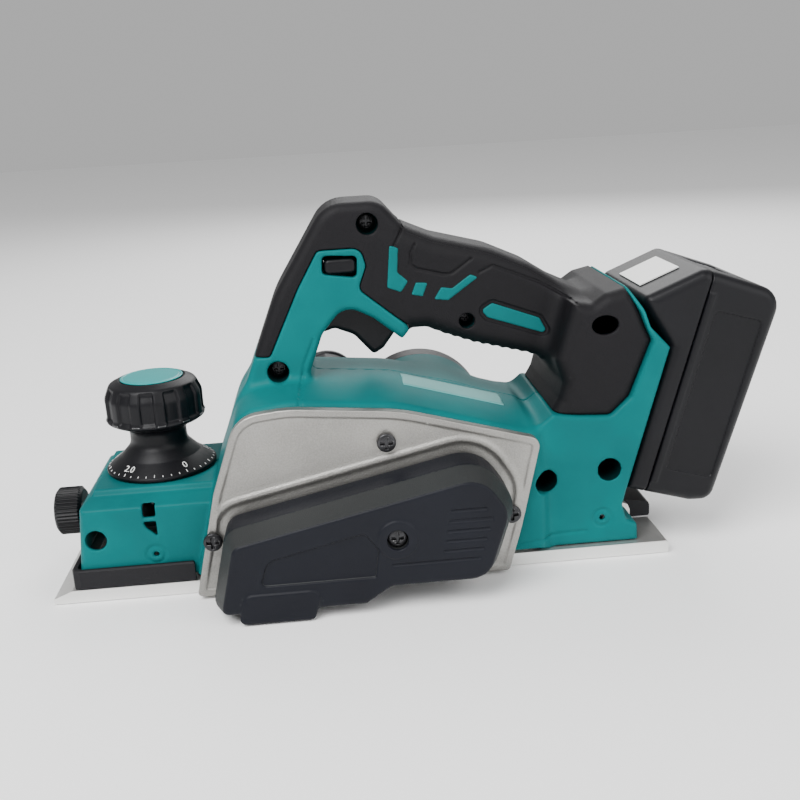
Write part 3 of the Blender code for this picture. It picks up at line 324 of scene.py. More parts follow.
def mesh_object(name, points, faces, material, sharp=None):
    """Object from points in millimetres."""
    mesh = bpy.data.meshes.new(name)
    mesh.from_pydata(np.asarray(points, dtype=float) * MM, [], faces)
    mesh.materials.append(material)
    mesh.shade_smooth()
    if sharp:
        mesh.set_sharp_from_angle(angle=math.radians(sharp))
    made = bpy.data.objects.new(name, mesh)
    bpy.context.scene.collection.objects.link(made)
    return made


CORNERS = [(i, j, k) for i in (0, 1) for j in (0, 1) for k in (0, 1)]
EDGES = [(a, b) for a in range(8) for b in range(a + 1, 8)
         if sum(abs(p - q) for p, q in zip(CORNERS[a], CORNERS[b])) == 1]


def skin(name, g, field, material, body="housing"):
    """Closed mesh on the zero level of a field: one point in each cell it crosses."""
    field = np.broadcast_to(field, (len(g.xs), len(g.ys), len(g.zs))).astype(np.float32)
    field = np.pad(field, 1, constant_values=g.step)
    inside = field < 0
    cells = tuple(n - 1 for n in field.shape)
    count = np.zeros(cells, dtype=np.int8)
    for i, j, k in CORNERS:
        count += inside[i:i + cells[0], j:j + cells[1], k:k + cells[2]]
    spots = np.argwhere((count > 0) & (count < 8))
    points = (spots + surface_points(field, spots) - 1) * g.step + np.array(g.low)
    number = np.full(cells, -1, dtype=np.int64)
    number[tuple(spots.T)] = np.arange(len(spots))
    made = mesh_object(name, points, surface_quads(inside, number), material)
    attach(made, body)
    return made


def surface_points(field, spots):
    """Mean place, within each cell, of the points where its edges cross the surface."""
    values = np.stack([field[tuple((spots + corner).T)] for corner in CORNERS], axis=1)
    total = np.zeros((len(spots), 3))
    hits = np.zeros(len(spots))
    for a, b in EDGES:
        crossed = (values[:, a] < 0) != (values[:, b] < 0)
        gap = np.where(crossed, values[:, a] - values[:, b], 1.0)
        share = np.where(crossed, values[:, a] / gap, 0.0)[:, None]
        place = np.array(CORNERS[a]) * (1 - share) + np.array(CORNERS[b]) * share
        total += np.where(crossed[:, None], place, 0.0)
        hits += crossed
    return total / hits[:, None]


def surface_quads(inside, number):
    """A face across each grid edge that the surface crosses, facing outwards."""
    faces = []
    for axis in range(3):
        one, two = (axis + 1) % 3, (axis + 2) % 3
        ahead = np.take(inside, range(1, inside.shape[axis]), axis=axis)
        behind = np.take(inside, range(inside.shape[axis] - 1), axis=axis)
        where = np.argwhere(ahead != behind)
        where = where[(where[:, one] > 0) & (where[:, two] > 0)]
        shift_one = np.eye(3, dtype=int)[one]
        shift_two = np.eye(3, dtype=int)[two]
        ring = [where, where - shift_one, where - shift_one - shift_two, where - shift_two]
        quad = np.stack([number[tuple(spot.T)] for spot in ring], axis=1)
        leaving = behind[tuple(where.T)]
        faces.append(np.where(leaving[:, None], quad, quad[:, ::-1]))
    return np.concatenate(faces).tolist()


def line_distance(g, points):
    """Distance to an open XZ line, the same at every y."""
    nearest = np.full((len(g.xs), len(g.zs)), 1e9, dtype=np.float32)
    a, b = g.xs[:, None], g.zs[None, :]
    for (x0, z0), (x1, z1) in zip(points, points[1:]):
        dx, dz = x1 - x0, z1 - z0
        share = np.clip(((a - x0) * dx + (b - z0) * dz) / (dx * dx + dz * dz), 0, 1)
        nearest = np.minimum(nearest, np.hypot(a - x0 - share * dx, b - z0 - share * dz))
    return nearest[:, None, :]


def scored(solid, line, width, depth):
    """Groove of that width and depth in a solid's surface, along a line."""
    return without(solid, np.maximum(line - width / 2, -solid - depth), 0.3)


def lathe(name, profile, centre, axis, material, body, sides=96, shape=None):
    """Turned piece. The profile's points are (radius, distance along the axis)."""
    lead = {"X": (1, 2, 0), "Y": (2, 0, 1), "Z": (0, 1, 2)}[axis]
    angles = 2 * math.pi * np.arange(sides) / sides
    rows = []
    for radius, along in profile:
        reach = radius + (shape(angles, radius, along) if shape else 0 * angles)
        row = np.empty((sides, 3))
        for slot, value in zip(lead, (reach * np.cos(angles), reach * np.sin(angles),
                                      along + 0 * angles)):
            row[:, slot] = centre[slot] + value
        rows.append(row)
    closed = profile[0][0] > 0
    faces = []
    for k in range(len(rows) - (0 if closed else 1)):
        one, two = k * sides, (k + 1) % len(rows) * sides
        faces += [(one + m, one + (m + 1) % sides, two + (m + 1) % sides, two + m)
                  for m in range(sides)]
    made = mesh_object(name, np.concatenate(rows), faces, material, sharp=40)
    weld(made)
    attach(made, body)
    return made


def weld(made):
    """Joins the points of a lathe's pole and turns its faces outwards."""
    work = bmesh.new()
    work.from_mesh(made.data)
    bmesh.ops.remove_doubles(work, verts=work.verts, dist=1e-6)
    bmesh.ops.recalc_face_normals(work, faces=work.faces)
    work.to_mesh(made.data)
    work.free()


def dense(profile, gap=0.8):
    """Profile with extra points, so that no two are further apart than gap."""
    points = [profile[0]]
    for (r0, h0), (r1, h1) in zip(profile, profile[1:]):
        count = max(1, math.ceil(math.hypot(r1 - r0, h1 - h0) / gap))
        points += [(r0 + (r1 - r0) * k / count, h0 + (h1 - h0) * k / count)
                   for k in range(1, count + 1)]
    return points


# ---- finishes ----
def finish(name, colour, shade, roughness, metallic=0.0, grain=0.5, height=0.02,
           stretch=(1, 1, 1), edge_wear_and_highlight=None, speckle=0.15, specular=0.5):
    """Grained finish: two tones in clouds and specks, fine bumps and lighter edges."""
    made = bpy.data.materials.new(name)
    made.use_nodes = True
    tree = made.node_tree
    link = tree.links.new

    def add(kind, data_type=None, **values):
        """New shader node with its inputs set by name."""
        node = tree.nodes.new(f"ShaderNode{kind}")
        if data_type:
            node.data_type = data_type
        for key, value in values.items():
            node.inputs[key.replace("_", " ")].default_value = value
        return node

    shader = tree.nodes["Principled BSDF"]
    shader.inputs["Metallic"].default_value = metallic
    shader.inputs["Specular IOR Level"].default_value = specular
    place = add("TexCoord")
    mapping = add("Mapping", Scale=stretch)
    link(place.outputs["Object"], mapping.inputs["Vector"])
    fine = add("TexNoise", Scale=1 / (grain * MM), Detail=3)
    link(mapping.outputs["Vector"], fine.inputs["Vector"])
    broad = add("TexNoise", Scale=28, Detail=5)
    link(place.outputs["Object"], broad.inputs["Vector"])
    blend = add("Mix", Factor=speckle)
    link(broad.outputs["Fac"], blend.inputs["A"])
    link(fine.outputs["Fac"], blend.inputs["B"])
    spread = add("MapRange", From_Min=0.35, From_Max=0.65)
    link(blend.outputs["Result"], spread.inputs["Value"])
    tones = add("Mix", "RGBA", A=(*shade, 1), B=(*colour, 1))
    link(spread.outputs["Result"], tones.inputs["Factor"])
    last = tones.outputs["Result"]
    # Lighter colour on sharp edges: edge wear, and on the blackened steel partly a painted
    # highlight as well.
    if edge_wear_and_highlight:
        bend = add("NewGeometry")
        edge_only = add("MapRange", From_Min=0.53, From_Max=0.62, To_Max=0.6)
        link(bend.outputs["Pointiness"], edge_only.inputs["Value"])
        wear_and_highlight_mix = add("Mix", "RGBA", B=(*edge_wear_and_highlight, 1))
        link(edge_only.outputs["Result"], wear_and_highlight_mix.inputs["Factor"])
        link(last, wear_and_highlight_mix.inputs["A"])
        last = wear_and_highlight_mix.outputs["Result"]
    link(last, shader.inputs["Base Color"])
    dull = add("MapRange", To_Min=max(0.05, roughness - 0.1), To_Max=min(1.0, roughness + 0.1))
    link(fine.outputs["Fac"], dull.inputs["Value"])
    link(dull.outputs["Result"], shader.inputs["Roughness"])
    bump = add("Bump", Distance=height * MM, Strength=1.0)
    link(fine.outputs["Fac"], bump.inputs["Height"])
    link(bump.outputs["Normal"], shader.inputs["Normal"])
    return made


TEAL = finish("moulded_teal", (0.0, 0.130, 0.132), (0.0, 0.098, 0.102), 0.46,
              grain=0.6, height=0.03, edge_wear_and_highlight=(0.005, 0.20, 0.20), specular=0.08)
# Painted shade: near-black teal for the walls of the screw recesses, standing in for the shade
# inside them.
PAINTED_SHADE_TEAL = finish("painted_shade_teal", (0.0, 0.020, 0.021), (0.0, 0.012, 0.013), 0.6,
                     grain=0.6, height=0.03, edge_wear_and_highlight=(0.0, 0.03, 0.03), specular=0.1)
CAP_TEAL = finish("smooth_teal", (0.004, 0.26, 0.26), (0.002, 0.22, 0.22), 0.35, grain=0.5,
                  height=0.01, edge_wear_and_highlight=(0.06, 0.5, 0.5))
RUBBER = finish("stippled_rubber", (0.0042, 0.0036, 0.0052), (0.002, 0.0018, 0.0026), 0.6,
                grain=0.55, height=0.15, edge_wear_and_highlight=(0.012, 0.012, 0.014), specular=0.22,
                speckle=0.7)
BLACK = finish("moulded_black", (0.0036, 0.0036, 0.0052), (0.002, 0.002, 0.003), 0.42,
               grain=0.5, height=0.05, edge_wear_and_highlight=(0.014, 0.015, 0.018), specular=0.22)
COVER_GREY = finish("cover_bevel", (0.022, 0.024, 0.024), (0.013, 0.014, 0.0145), 0.55,
                    grain=0.5, height=0.12, edge_wear_and_highlight=(0.06, 0.063, 0.065), speckle=0.6,
                    specular=0.3)
COVER_BLACK = finish("cover_black", (0.0045, 0.0055, 0.010), (0.003, 0.0036, 0.007), 0.48,
                     grain=0.45, height=0.06, edge_wear_and_highlight=(0.015, 0.017, 0.02), specular=0.2)
CAST = finish("cast_aluminium", (0.37, 0.36, 0.34), (0.25, 0.245, 0.23), 0.42,
              metallic=0.85, grain=0.7, height=0.14, edge_wear_and_highlight=(0.82, 0.81, 0.78), speckle=0.45)
MILLED = finish("milled_aluminium", (0.78, 0.77, 0.75), (0.66, 0.65, 0.63), 0.33,
                metallic=0.85, grain=0.5, height=0.02, stretch=(1, 0.06, 1),
                edge_wear_and_highlight=(0.92, 0.92, 0.9))
STEEL = finish("ground_steel", (0.62, 0.62, 0.62), (0.48, 0.48, 0.49), 0.28, metallic=1.0,
               grain=0.4, height=0.01, stretch=(1, 0.1, 1), edge_wear_and_highlight=(0.8, 0.8, 0.8))
# Blackened steel of the screws and knob tabs. Its much lighter edges are partly edge wear and
# partly a painted highlight on the rims of the heads and their cross recesses.
DARK = finish("blackened_steel", (0.05, 0.05, 0.053), (0.025, 0.025, 0.027), 0.3,
              metallic=0.8, grain=0.4, height=0.02, edge_wear_and_highlight=(0.35, 0.35, 0.35))
COPPER = finish("lacquered_copper", (0.42, 0.17, 0.07), (0.30, 0.11, 0.05), 0.35,
                metallic=0.9, grain=0.6, height=0.05, edge_wear_and_highlight=(0.6, 0.3, 0.15))
WRAP = finish("cell_sleeve", (0.10, 0.22, 0.40), (0.07, 0.16, 0.30), 0.4, grain=0.6,
              height=0.01, edge_wear_and_highlight=(0.2, 0.35, 0.55))
PALE = finish("pale_label", (0.80, 0.80, 0.78), (0.70, 0.70, 0.69), 0.45, grain=0.4,
              height=0.008, edge_wear_and_highlight=(0.88, 0.88, 0.87))
STRIP = finish("strip_label", (0.10, 0.32, 0.31), (0.07, 0.26, 0.25), 0.4, grain=0.4,
               height=0.008, edge_wear_and_highlight=(0.2, 0.4, 0.4), specular=0.15)

SLOT_FINISHES = {
    "teal_plastic": TEAL, "black_rubber": RUBBER, "black_plastic": BLACK,
    "cast_aluminium": CAST, "milled_aluminium": MILLED, "steel": STEEL,
    "blackened_steel": DARK, "copper": COPPER, "cell_wrap": WRAP, "pale_label": PALE,
}


def dress_frame():
    """New finishes and softened edges on the frame's own pieces."""
    for node in nodes.values():
        for place in node.material_slots:
            name = place.material.name.split(".")[0]
            place.material = SLOT_FINISHES.get(name, BLACK)
        soften = node.modifiers.new("soft_edges", "BEVEL")
        soften.width = 0.25 * MM
        soften.segments = 2
        soften.limit_method = "ANGLE"
        soften.angle_limit = math.radians(35)


# ---- housing ----
def crowned_body(g):
    """Side view of the body, lifted from each side towards the centre plane."""
    flat = g.outline(BODY)
    slices = [lifted(flat, 2.5 + 5.0 * (1 - min(1.0, abs(y) / BODY_HALF) ** 2), g.step)
              for y in g.ys]
    return np.concatenate(slices, axis=1)


def nose_field(g):
    """Front block with its sloping shoulders and the platform of the knob."""
    side = g.outline(NOSE_SIDE)
    end = polygon_distance(rounded(NOSE_END), g.ys[:, None], g.zs[None, :])[None, :, :]
    round_by = 4.0
    reach_x = np.maximum(NOSE_FRONT + (g.z - NOSE_FOOT) * 0.11 - g.x, g.x + 80.0) + round_by
    reach_y = np.abs(g.y) - NOSE_HALF + round_by
    corner = np.hypot(np.maximum(reach_x, 0), np.maximum(reach_y, 0)) - round_by
    return both(both(side, end, 1.2), corner, 0.6)


def body_shell():
    """Both housing halves as one hollow moulding, with their parting line."""
    g = Grid((-156.0, -47.0, 3.0), (129.0, 61.0, 176.0), FINE)
    wide = np.abs(g.y)
    body = crowned_body(g)
    leg, grip = g.outline(LEG), g.outline(GRIP)
    rear, rim = g.outline(REAR), g.outline(RIM)
    nose = nose_field(g)
    rim_end = polygon_distance(rounded(RIM_END), g.ys[:, None], g.zs[None, :])[None, :, :]
    patch = both(g.outline(PATCH), prism(leg, wide - 19.4, 3.0), 0.8)
    solid = both(prism(body, wide - BODY_HALF, 3.0), 8.7 - g.z, 0.8)
    solid = either(solid, both(prism(rim, wide - NOSE_HALF, 2.0), rim_end, 1.0), 7.0)
    solid = either(solid, patch, 5.0)
    solid = either(solid, nose, 1.5)
    solid = np.minimum(solid, np.maximum(leg + 3.4, wide - 14.8))
    solid = np.minimum(solid, np.maximum(grip + 3.4, wide - 14.6))
    solid = np.minimum(solid, prism(rear, wide - 34.2, 3.0))
    solid = np.minimum(solid, bar(g, (-2.0, -13.2, 124.0), (12.0, 13.2, 150.0)))
    barrel = tube(g, *MOTOR, 36.0)
    solid = either(solid, both(np.maximum(barrel, -g.y), g.y - 58.0, 1.0), 4.0)
    for line in SEAMS:
        solid = scored(solid, line_distance(g, line), 1.2, 0.7)
    solid = scored(solid, wide, 1.1, 0.5)
    rooms = [                            # hollows for the works inside
        np.maximum(body + 2.5, wide - 41.4), np.maximum(nose + 2.4, g.x + 84.0),
        np.maximum(leg + 5.4, wide - 13.4), np.maximum(grip + 5.2, wide - 13.2),
        np.maximum(rear + 2.4, wide - 32.0),
        bar(g, (-96.0, -41.6, -9.0), (63.5, 41.6, 14.0)),
        bar(g, (-150.5, -37.0, -9.0), (-84.0, 37.0, 20.0)),
        bar(g, (50.0, -37.0, -9.0), (99.0, 37.0, 60.0)),
        bar(g, (101.5, -17.2, -9.0), (130.0, 17.2, 19.0)),
        np.maximum(tube(g, *MOTOR, 32.0), 30.0 - g.y),
    ]
    for room in rooms:
        solid = np.maximum(solid, -room)
    clear = 0.12 - g.outline(LOCK_BAR)
    guide = np.maximum(bar(g, (-33.0, -7.0, 138.0), (-10.0, 7.0, 153.0)), clear)
    solid = np.minimum(solid, guide)
    solid = screw_pillars(g, solid)
    for hole in shell_holes(g):
        solid = both(solid, -hole, 0.4)
    made = skin("body_shell", g, solid, TEAL)
    paint_recess_shade(made)
    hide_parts("housing_left", "housing_right")
    return g, body


def screw_pillars(g, solid):
    """Pillars through the shell for its screws, each with a recess for the head."""
    wide = np.abs(g.y)
    for x, z, half, head in SCREW_SEATS:
        depth = 3.6 if half < 30 else 1.2
        solid = np.minimum(solid, np.maximum(tube(g, x, z, head + 2.3), wide - half + depth))
        recess = np.maximum(tube(g, x, z, head + 0.9), g.y - 4.0 + 0.6 * half)
        solid = np.maximum(solid, -recess)
    return solid


def shell_holes(g):
    """Everything that passes through the shell, and the rings round its pin holes."""
    wide = np.abs(g.y)
    nozzle = np.maximum(tube(g, *NOZZLE, 13.5), 30.0 - g.y)
    upright = np.hypot(g.x - KNOB_X, g.y) - 5.0
    stud = np.hypot(g.y, g.z - THUMB_Z) - 3.3
    holes = [
        nozzle, np.maximum(tube(g, *DRUM, 9.0), wide - 60.0),
        np.maximum(tube(g, *MOTOR, 12.0), g.y), tube(g, -143.0, 28.8, 4.9),
        np.maximum(upright, 40.0 - g.z), np.maximum(stud, g.x + 140.0),
        tube(g, *NOSE_PIN, 1.3),
        np.maximum(g.outline(WINDOW), 7.5 - wide),
        np.maximum(np.abs(tube(g, *NOSE_PIN, 4.2)) - 0.6, 38.7 - wide),
        np.maximum(np.abs(tube(g, *REAR_PIN, 4.2)) - 0.7, 38.4 - wide),
        np.maximum(tube(g, *REAR_PIN, 1.4), 30.0 - wide),
        bar(g, (-34.5, -8.6, 96.0), (8.4, 8.6, 133.0)),
        bar(g, (-9.0, -8.6, 127.0), (13.0, 8.6, 140.1)),
        np.maximum(tube(g, *TRIGGER_PIN, 2.4), wide - 11.0),
        np.maximum(head_hole(g) - 1.6, 20.0 - wide),
    ]
    return holes + [np.maximum(g.outline(slot), 30.0 + g.y) for slot in SLOTS]


def handle_outside(g):
    """Outer surface of the whole handle: leg and hump, hand grip and battery head."""
    wide = np.abs(g.y)
    leg = prism(g.outline(LEG), wide - 18.6, 5.0)
    grip = prism(g.outline(GRIP), wide - 18.4, 8.0)
    head = prism(g.outline(HEAD), wide - 37.0, 6.0)
    return either(either(leg, grip, 3.0), head, 9.0)


def paint_recess_shade(made):
    """Painted shade: a darker teal on the walls of the recessed screw holes on the -Y side."""
    made.data.materials.append(PAINTED_SHADE_TEAL)
    count = len(made.data.polygons)
    centres = np.empty(count * 3)
    made.data.polygons.foreach_get("center", centres)
    x, y, z = centres.reshape(-1, 3).T / MM
    deep = np.zeros(count, dtype=int)
    # Faces inside the recesses on the -Y side get the painted shade.
    for spot_x, spot_z, half, head in SCREW_SEATS:
        near = np.hypot(x - spot_x, z - spot_z) < head + 1.3
        deep |= (near & (y < 0) & (y > 1.0 - half)).astype(int)
    made.data.polygons.foreach_set("material_index", deep.astype(np.int32))


def head_hole(g):
    """Oval hole through the side of the battery head."""
    return np.hypot(g.x - HEAD_HOLE[0], (g.z - HEAD_HOLE[1]) / 0.72) - 6.2


def head_holes(g, solid):
    """Holes in the rubber over the heads of the housing screws."""
    for x, z, _, head in SCREW_SEATS:
        solid = both(solid, -np.maximum(tube(g, x, z, head + 0.7), g.y + 1.0), 0.5)
    return solid


def leg_rubber():
    """Rubber over the front leg and the hump above the trigger."""
    g = Grid((-81.0, -21.0, 96.0), (11.0, 21.0, 175.0), SMALL)
    wide = np.abs(g.y)
    leg = g.outline(LEG)
    solid = np.maximum(handle_outside(g), leg - 0.6)
    solid = scored(solid, line_distance(g, HUMP_LINE), 1.1, 0.7)
    core = np.maximum(leg + 2.5, wide - 15.7)
    for tool in (core, g.outline(PATCH) - 0.35, bar(g, (-40.0, -9.2, 90.0), (12.0, 9.2, 131.0)),
                 bar(g, (-4.0, -13.5, 123.7), (12.3, 13.5, 150.3)), g.z - 98.0):
        solid = np.maximum(solid, -tool)
    made = skin("leg_rubber", g, head_holes(g, solid), RUBBER)
    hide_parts("front_grip_left", "front_grip_right")


def grip_rubber():
    """Rubber over the hand grip and the battery head, with its inlays."""
    g = Grid((2.0, -40.0, 65.0), (124.0, 40.0, 165.0), SMALL)
    wide = np.abs(g.y)
    leg = g.outline(LEG)
    outer = handle_outside(g)
    low_side = np.clip((-g.z + 112.0 - 0.3 * (g.x - 20.0)) / 4.0, 0, 1)
    scallop = 0.45 * np.cos(2 * math.pi * g.x / 4.6) * low_side * ((g.x > 18) & (g.x < 72))
    solid = np.maximum(outer + scallop, -0.6 - leg)
    for line, deep in ((HUMP_LINE, 0.7), (PANEL_LINE, 0.8), (GRIP_LINE, 0.7)):
        solid = scored(solid, line_distance(g, line), 1.1, deep)
    badge = g.outline(BADGE)
    solid = both(solid, -np.maximum(badge - 1.3, -outer - 1.0), 0.4)
    solid = both(solid, -np.maximum(head_hole(g), 25.0 - wide), 0.5)
    rim, rear = g.outline(RIM), g.outline(REAR)
    for tool in (np.maximum(g.outline(GRIP) + 2.5, wide - 15.5),
                 np.maximum(rear - 0.3, wide - 34.5),
                 np.maximum(g.outline(PATCH) - 0.35, leg - 0.3),
                 np.maximum(rim - 0.3, wide - 45.0),
                 bar(g, (-4.0, -13.5, 123.7), (12.3, 13.5, 150.3))):
        solid = np.maximum(solid, -tool)
    made = skin("grip_rubber", g, head_holes(g, solid), RUBBER)
    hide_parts("rear_grip_left", "rear_grip_right")
    plate = both(np.maximum(badge + 0.4, 6.0 - wide), np.maximum(outer + 0.1, -outer - 1.4), 0.4)
    skin("grip_badge", g, plate, TEAL)


def accents():
    """Three teal marks let into the rubber on each side of the grip."""
    g = Grid((-3.0, -21.0, 122.0), (45.0, 21.0, 156.0), SMALL)
    wide = np.abs(g.y)
    outer = handle_outside(g)
    marks = np.minimum.reduce([g.outline(mark) for mark in ACCENTS])
    plate = both(np.maximum(marks, 6.0 - wide), np.maximum(outer - 0.45, -outer - 1.2), 0.3)
    skin("grip_accents", g, plate, TEAL)


def top_strip(shell_grid, body):
    """Blank strip label lying on the crowned top of the body."""
    g = shell_grid
    region = np.maximum(np.maximum(4.0 - g.x, g.x - 52.0), np.maximum(-20.0 - g.y, g.y + 4.0))
    strip = np.maximum(region, np.maximum(body - 0.5, -body - 0.6))
    made = skin("top_strip", g, strip, STRIP)
    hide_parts("top_label")


# ---- drive side ----
def bracket_plate():
    """Cast plate with its raised lip and the ridge that follows the cover."""
    g = Grid((-101.0, -51.5, -1.0), (66.0, -43.0, 91.0), SMALL)
    flat = g.outline(BRACKET)
    base = np.maximum(flat, np.maximum(-49.2 - g.y, g.y - PLATE_Y))
    lip = np.maximum(np.maximum(flat, -flat - 3.6), np.maximum(-50.1 - g.y, g.y + 48.0))
    solid = both(either(base, lip, 1.0), np.maximum(flat, -50.1 - g.y), 1.2)
    ridge = np.hypot(g.outline(COVER) - 5.4, g.y + 48.8) - 1.3
    ridge = np.maximum(ridge, np.maximum(-86.0 - g.x, 27.0 - g.z))
    solid = either(solid, np.maximum(ridge, flat + 2.0), 2.0)
    for x, z in (*PLATE_SCREWS, COVER_SCREW):
        solid = both(solid, -tube(g, x, z, 2.1), 0.3)
    for x, z, radius in ((*DRUM, 13.3), (*MOTOR, 11.3)):
        solid = np.maximum(solid, -tube(g, x, z, radius))
    made = skin("bracket_plate", g, solid, CAST)
    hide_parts("belt_bracket")


def cover_shell():
    """Belt cover: straight wall, bevel, flat face with its pocket and ribs."""
    g = Grid((-92.0, -80.5, -1.0), (50.0, -49.5, 66.0), SMALL)
    flat = g.outline(COVER)
    taper = np.clip(-66.0 - g.y, 0, None) * 0.40
    wall = both(flat, (flat + taper) * 0.93, 0.8)
    solid = both(wall, np.maximum(COVER_Y - g.y, g.y + 50.3), 1.0)
    step = np.maximum(g.outline(COVER_STEP), np.maximum(COVER_Y - 0.9 - g.y, g.y + 60.0))
    solid = either(solid, step, 1.0)
    x, z = COVER_SCREW
    boss = np.maximum(tube(g, x, z, 8.6), np.maximum(COVER_Y - 0.8 - g.y, g.y + 76.0))
    solid = either(solid, boss, 1.2)
    for k in range(7):
        high = 18.0 + 4.6 * k
        start = 12.0 + 0.9 * k if k > 1 else -9.0
        line = np.maximum(np.abs(g.z - high) - 0.5, np.maximum(start - g.x, flat + 11.0))
        solid = both(solid, -np.maximum(line, g.y - COVER_Y - 0.6), 0.3)
    solid = both(solid, -np.maximum(g.outline(POCKET), g.y + 76.9), 0.8)
    room = np.maximum(np.maximum(flat + 2.4, flat + taper + 2.6),
                      np.maximum(-74.8 - g.y, g.y + 48.0))
    pillar = np.maximum(tube(g, x, z, 5.0), -76.0 - g.y)
    room = np.maximum(room, -pillar)
    solid = np.maximum(solid, -room)
    solid = both(solid, -np.maximum(tube(g, x, z, 4.6), g.y + 73.6), 0.5)
    solid = np.maximum(solid, -tube(g, x, z, 2.1))
    made = skin("cover_shell", g, solid, COVER_GREY)
    made.data.materials.append(COVER_BLACK)
    for face in made.data.polygons:
        bevel = -77.2 < face.center.y / MM < -66.5 and face.normal.y > -0.93
        face.material_index = 0 if bevel else 1
    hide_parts("belt_cover")


def cross_screw(name, x, z, seat, radius, shank, node):
    """Pan head screw with a cross recess, its washer face and its threaded shank."""
    g = Grid((x - radius - 0.6, seat - 3.2, z - radius - 0.6),
             (x + radius + 0.6, shank + 0.5, z + radius + 0.6), SCREW)
    across = np.hypot(g.x - x, g.z - z)
    dome = (np.sqrt(across ** 2 + (g.y - seat - 2.4 * radius) ** 2)
            - (2.4 * radius + HEAD_DEPTH))
    head = both(np.maximum(across - radius, g.y - seat), dome, 0.5)
    thread = 1.7 + 0.22 * np.cos(2 * math.pi * (g.y + np.arctan2(g.z - z, g.x - x) / 6.283))
    length = np.maximum(seat - 0.5 - g.y, g.y - shank)
    solid = np.minimum(head, np.maximum(across - thread, length))
    slim = radius * 0.17
    long_x = np.maximum(np.abs(g.x - x) - radius * 0.66, np.abs(g.z - z) - slim)
    long_z = np.maximum(np.abs(g.z - z) - radius * 0.66, np.abs(g.x - x) - slim)
    recess = np.maximum(np.minimum(long_x, long_z), g.y - seat + 0.6)
    made = skin(name, g, both(solid, -recess, 0.2), DARK)
    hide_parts(node)


def all_screws():
    """The nine screws on the belt-cover side."""
    for name in (*PLATE_NAMES, "cover_screw", *HOUSING_SCREWS):
        low = edge(name, 1, 0)
        tip = edge(name, 1, 1) if name in HOUSING_SCREWS else low + 20.0
        radius = (edge(name, 0, 1) - edge(name, 0, 0)) / 2
        cross_screw(f"{name}_head", middle(name, 0), middle(name, 2), low + HEAD_DEPTH,
                    radius, tip, name)


def far_side():
    """Ribbed chip nozzle and vented motor cover."""
    x, z = NOZZLE

    def ribs(angles, radius, along):
        """Eight low ribs along the pipe."""
        on_pipe = radius > 14 and 48 < along < 72
        return 0.35 * np.clip(np.cos(8 * angles) * 3 - 2, 0, 1) * on_pipe

    profile = [(13.5, 44.2), (17.6, 44.2), (17.6, 46.6), (16.4, 47.4), (16.0, 50.0),
               (15.6, 72.6), (16.6, 73.4), (16.6, 76.0), (16.0, 76.6), (13.2, 76.6)]
    nozzle = lathe("chip_outlet_pipe", dense(profile, 1.0), (x, 0, z), "Y", BLACK, "housing",
                   shape=ribs)
    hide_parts("chip_nozzle")
    motor_cover()


def motor_cover():
    """Domed end cover of the motor with a ring of vents between its spokes."""
    spokes = 14
    g = Grid((MOTOR[0] - 37.0, 57.5, MOTOR[1] - 37.0), (MOTOR[0] + 37.0, 78.0, MOTOR[1] + 37.0),
             0.6)
    across = tube(g, *MOTOR, 0.0)
    dome = prism(across - 35.6, g.y - 76.5, 6.0)
    solid = both(dome, 58.3 - g.y, 0.5)
    room = np.maximum(across - 31.0, np.maximum(g.y - 74.0, across + g.y - 101.0))
    hub = np.maximum(np.maximum(across - 14.0, 60.5 - g.y), 11.3 - across)
    solid = np.minimum(np.maximum(solid, -room), np.maximum(hub, g.y - 75.0))
    swirl = np.arctan2(g.z - MOTOR[1], g.x - MOTOR[0])
    turns = np.abs(np.mod(swirl * spokes / (2 * math.pi), 1.0) - 0.5)
    spoke = turns * 2 * math.pi / spokes * across - 1.3
    vents = np.maximum(spoke, np.maximum(17.0 - across, across - 29.0))
    solid = both(solid, -np.maximum(vents, 66.0 - g.y), 0.4)
    solid = scored(solid, np.abs(across - 14.5), 1.3, 0.7)
    made = skin("motor_end_cover", g, solid, BLACK)
    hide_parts("motor_cover")


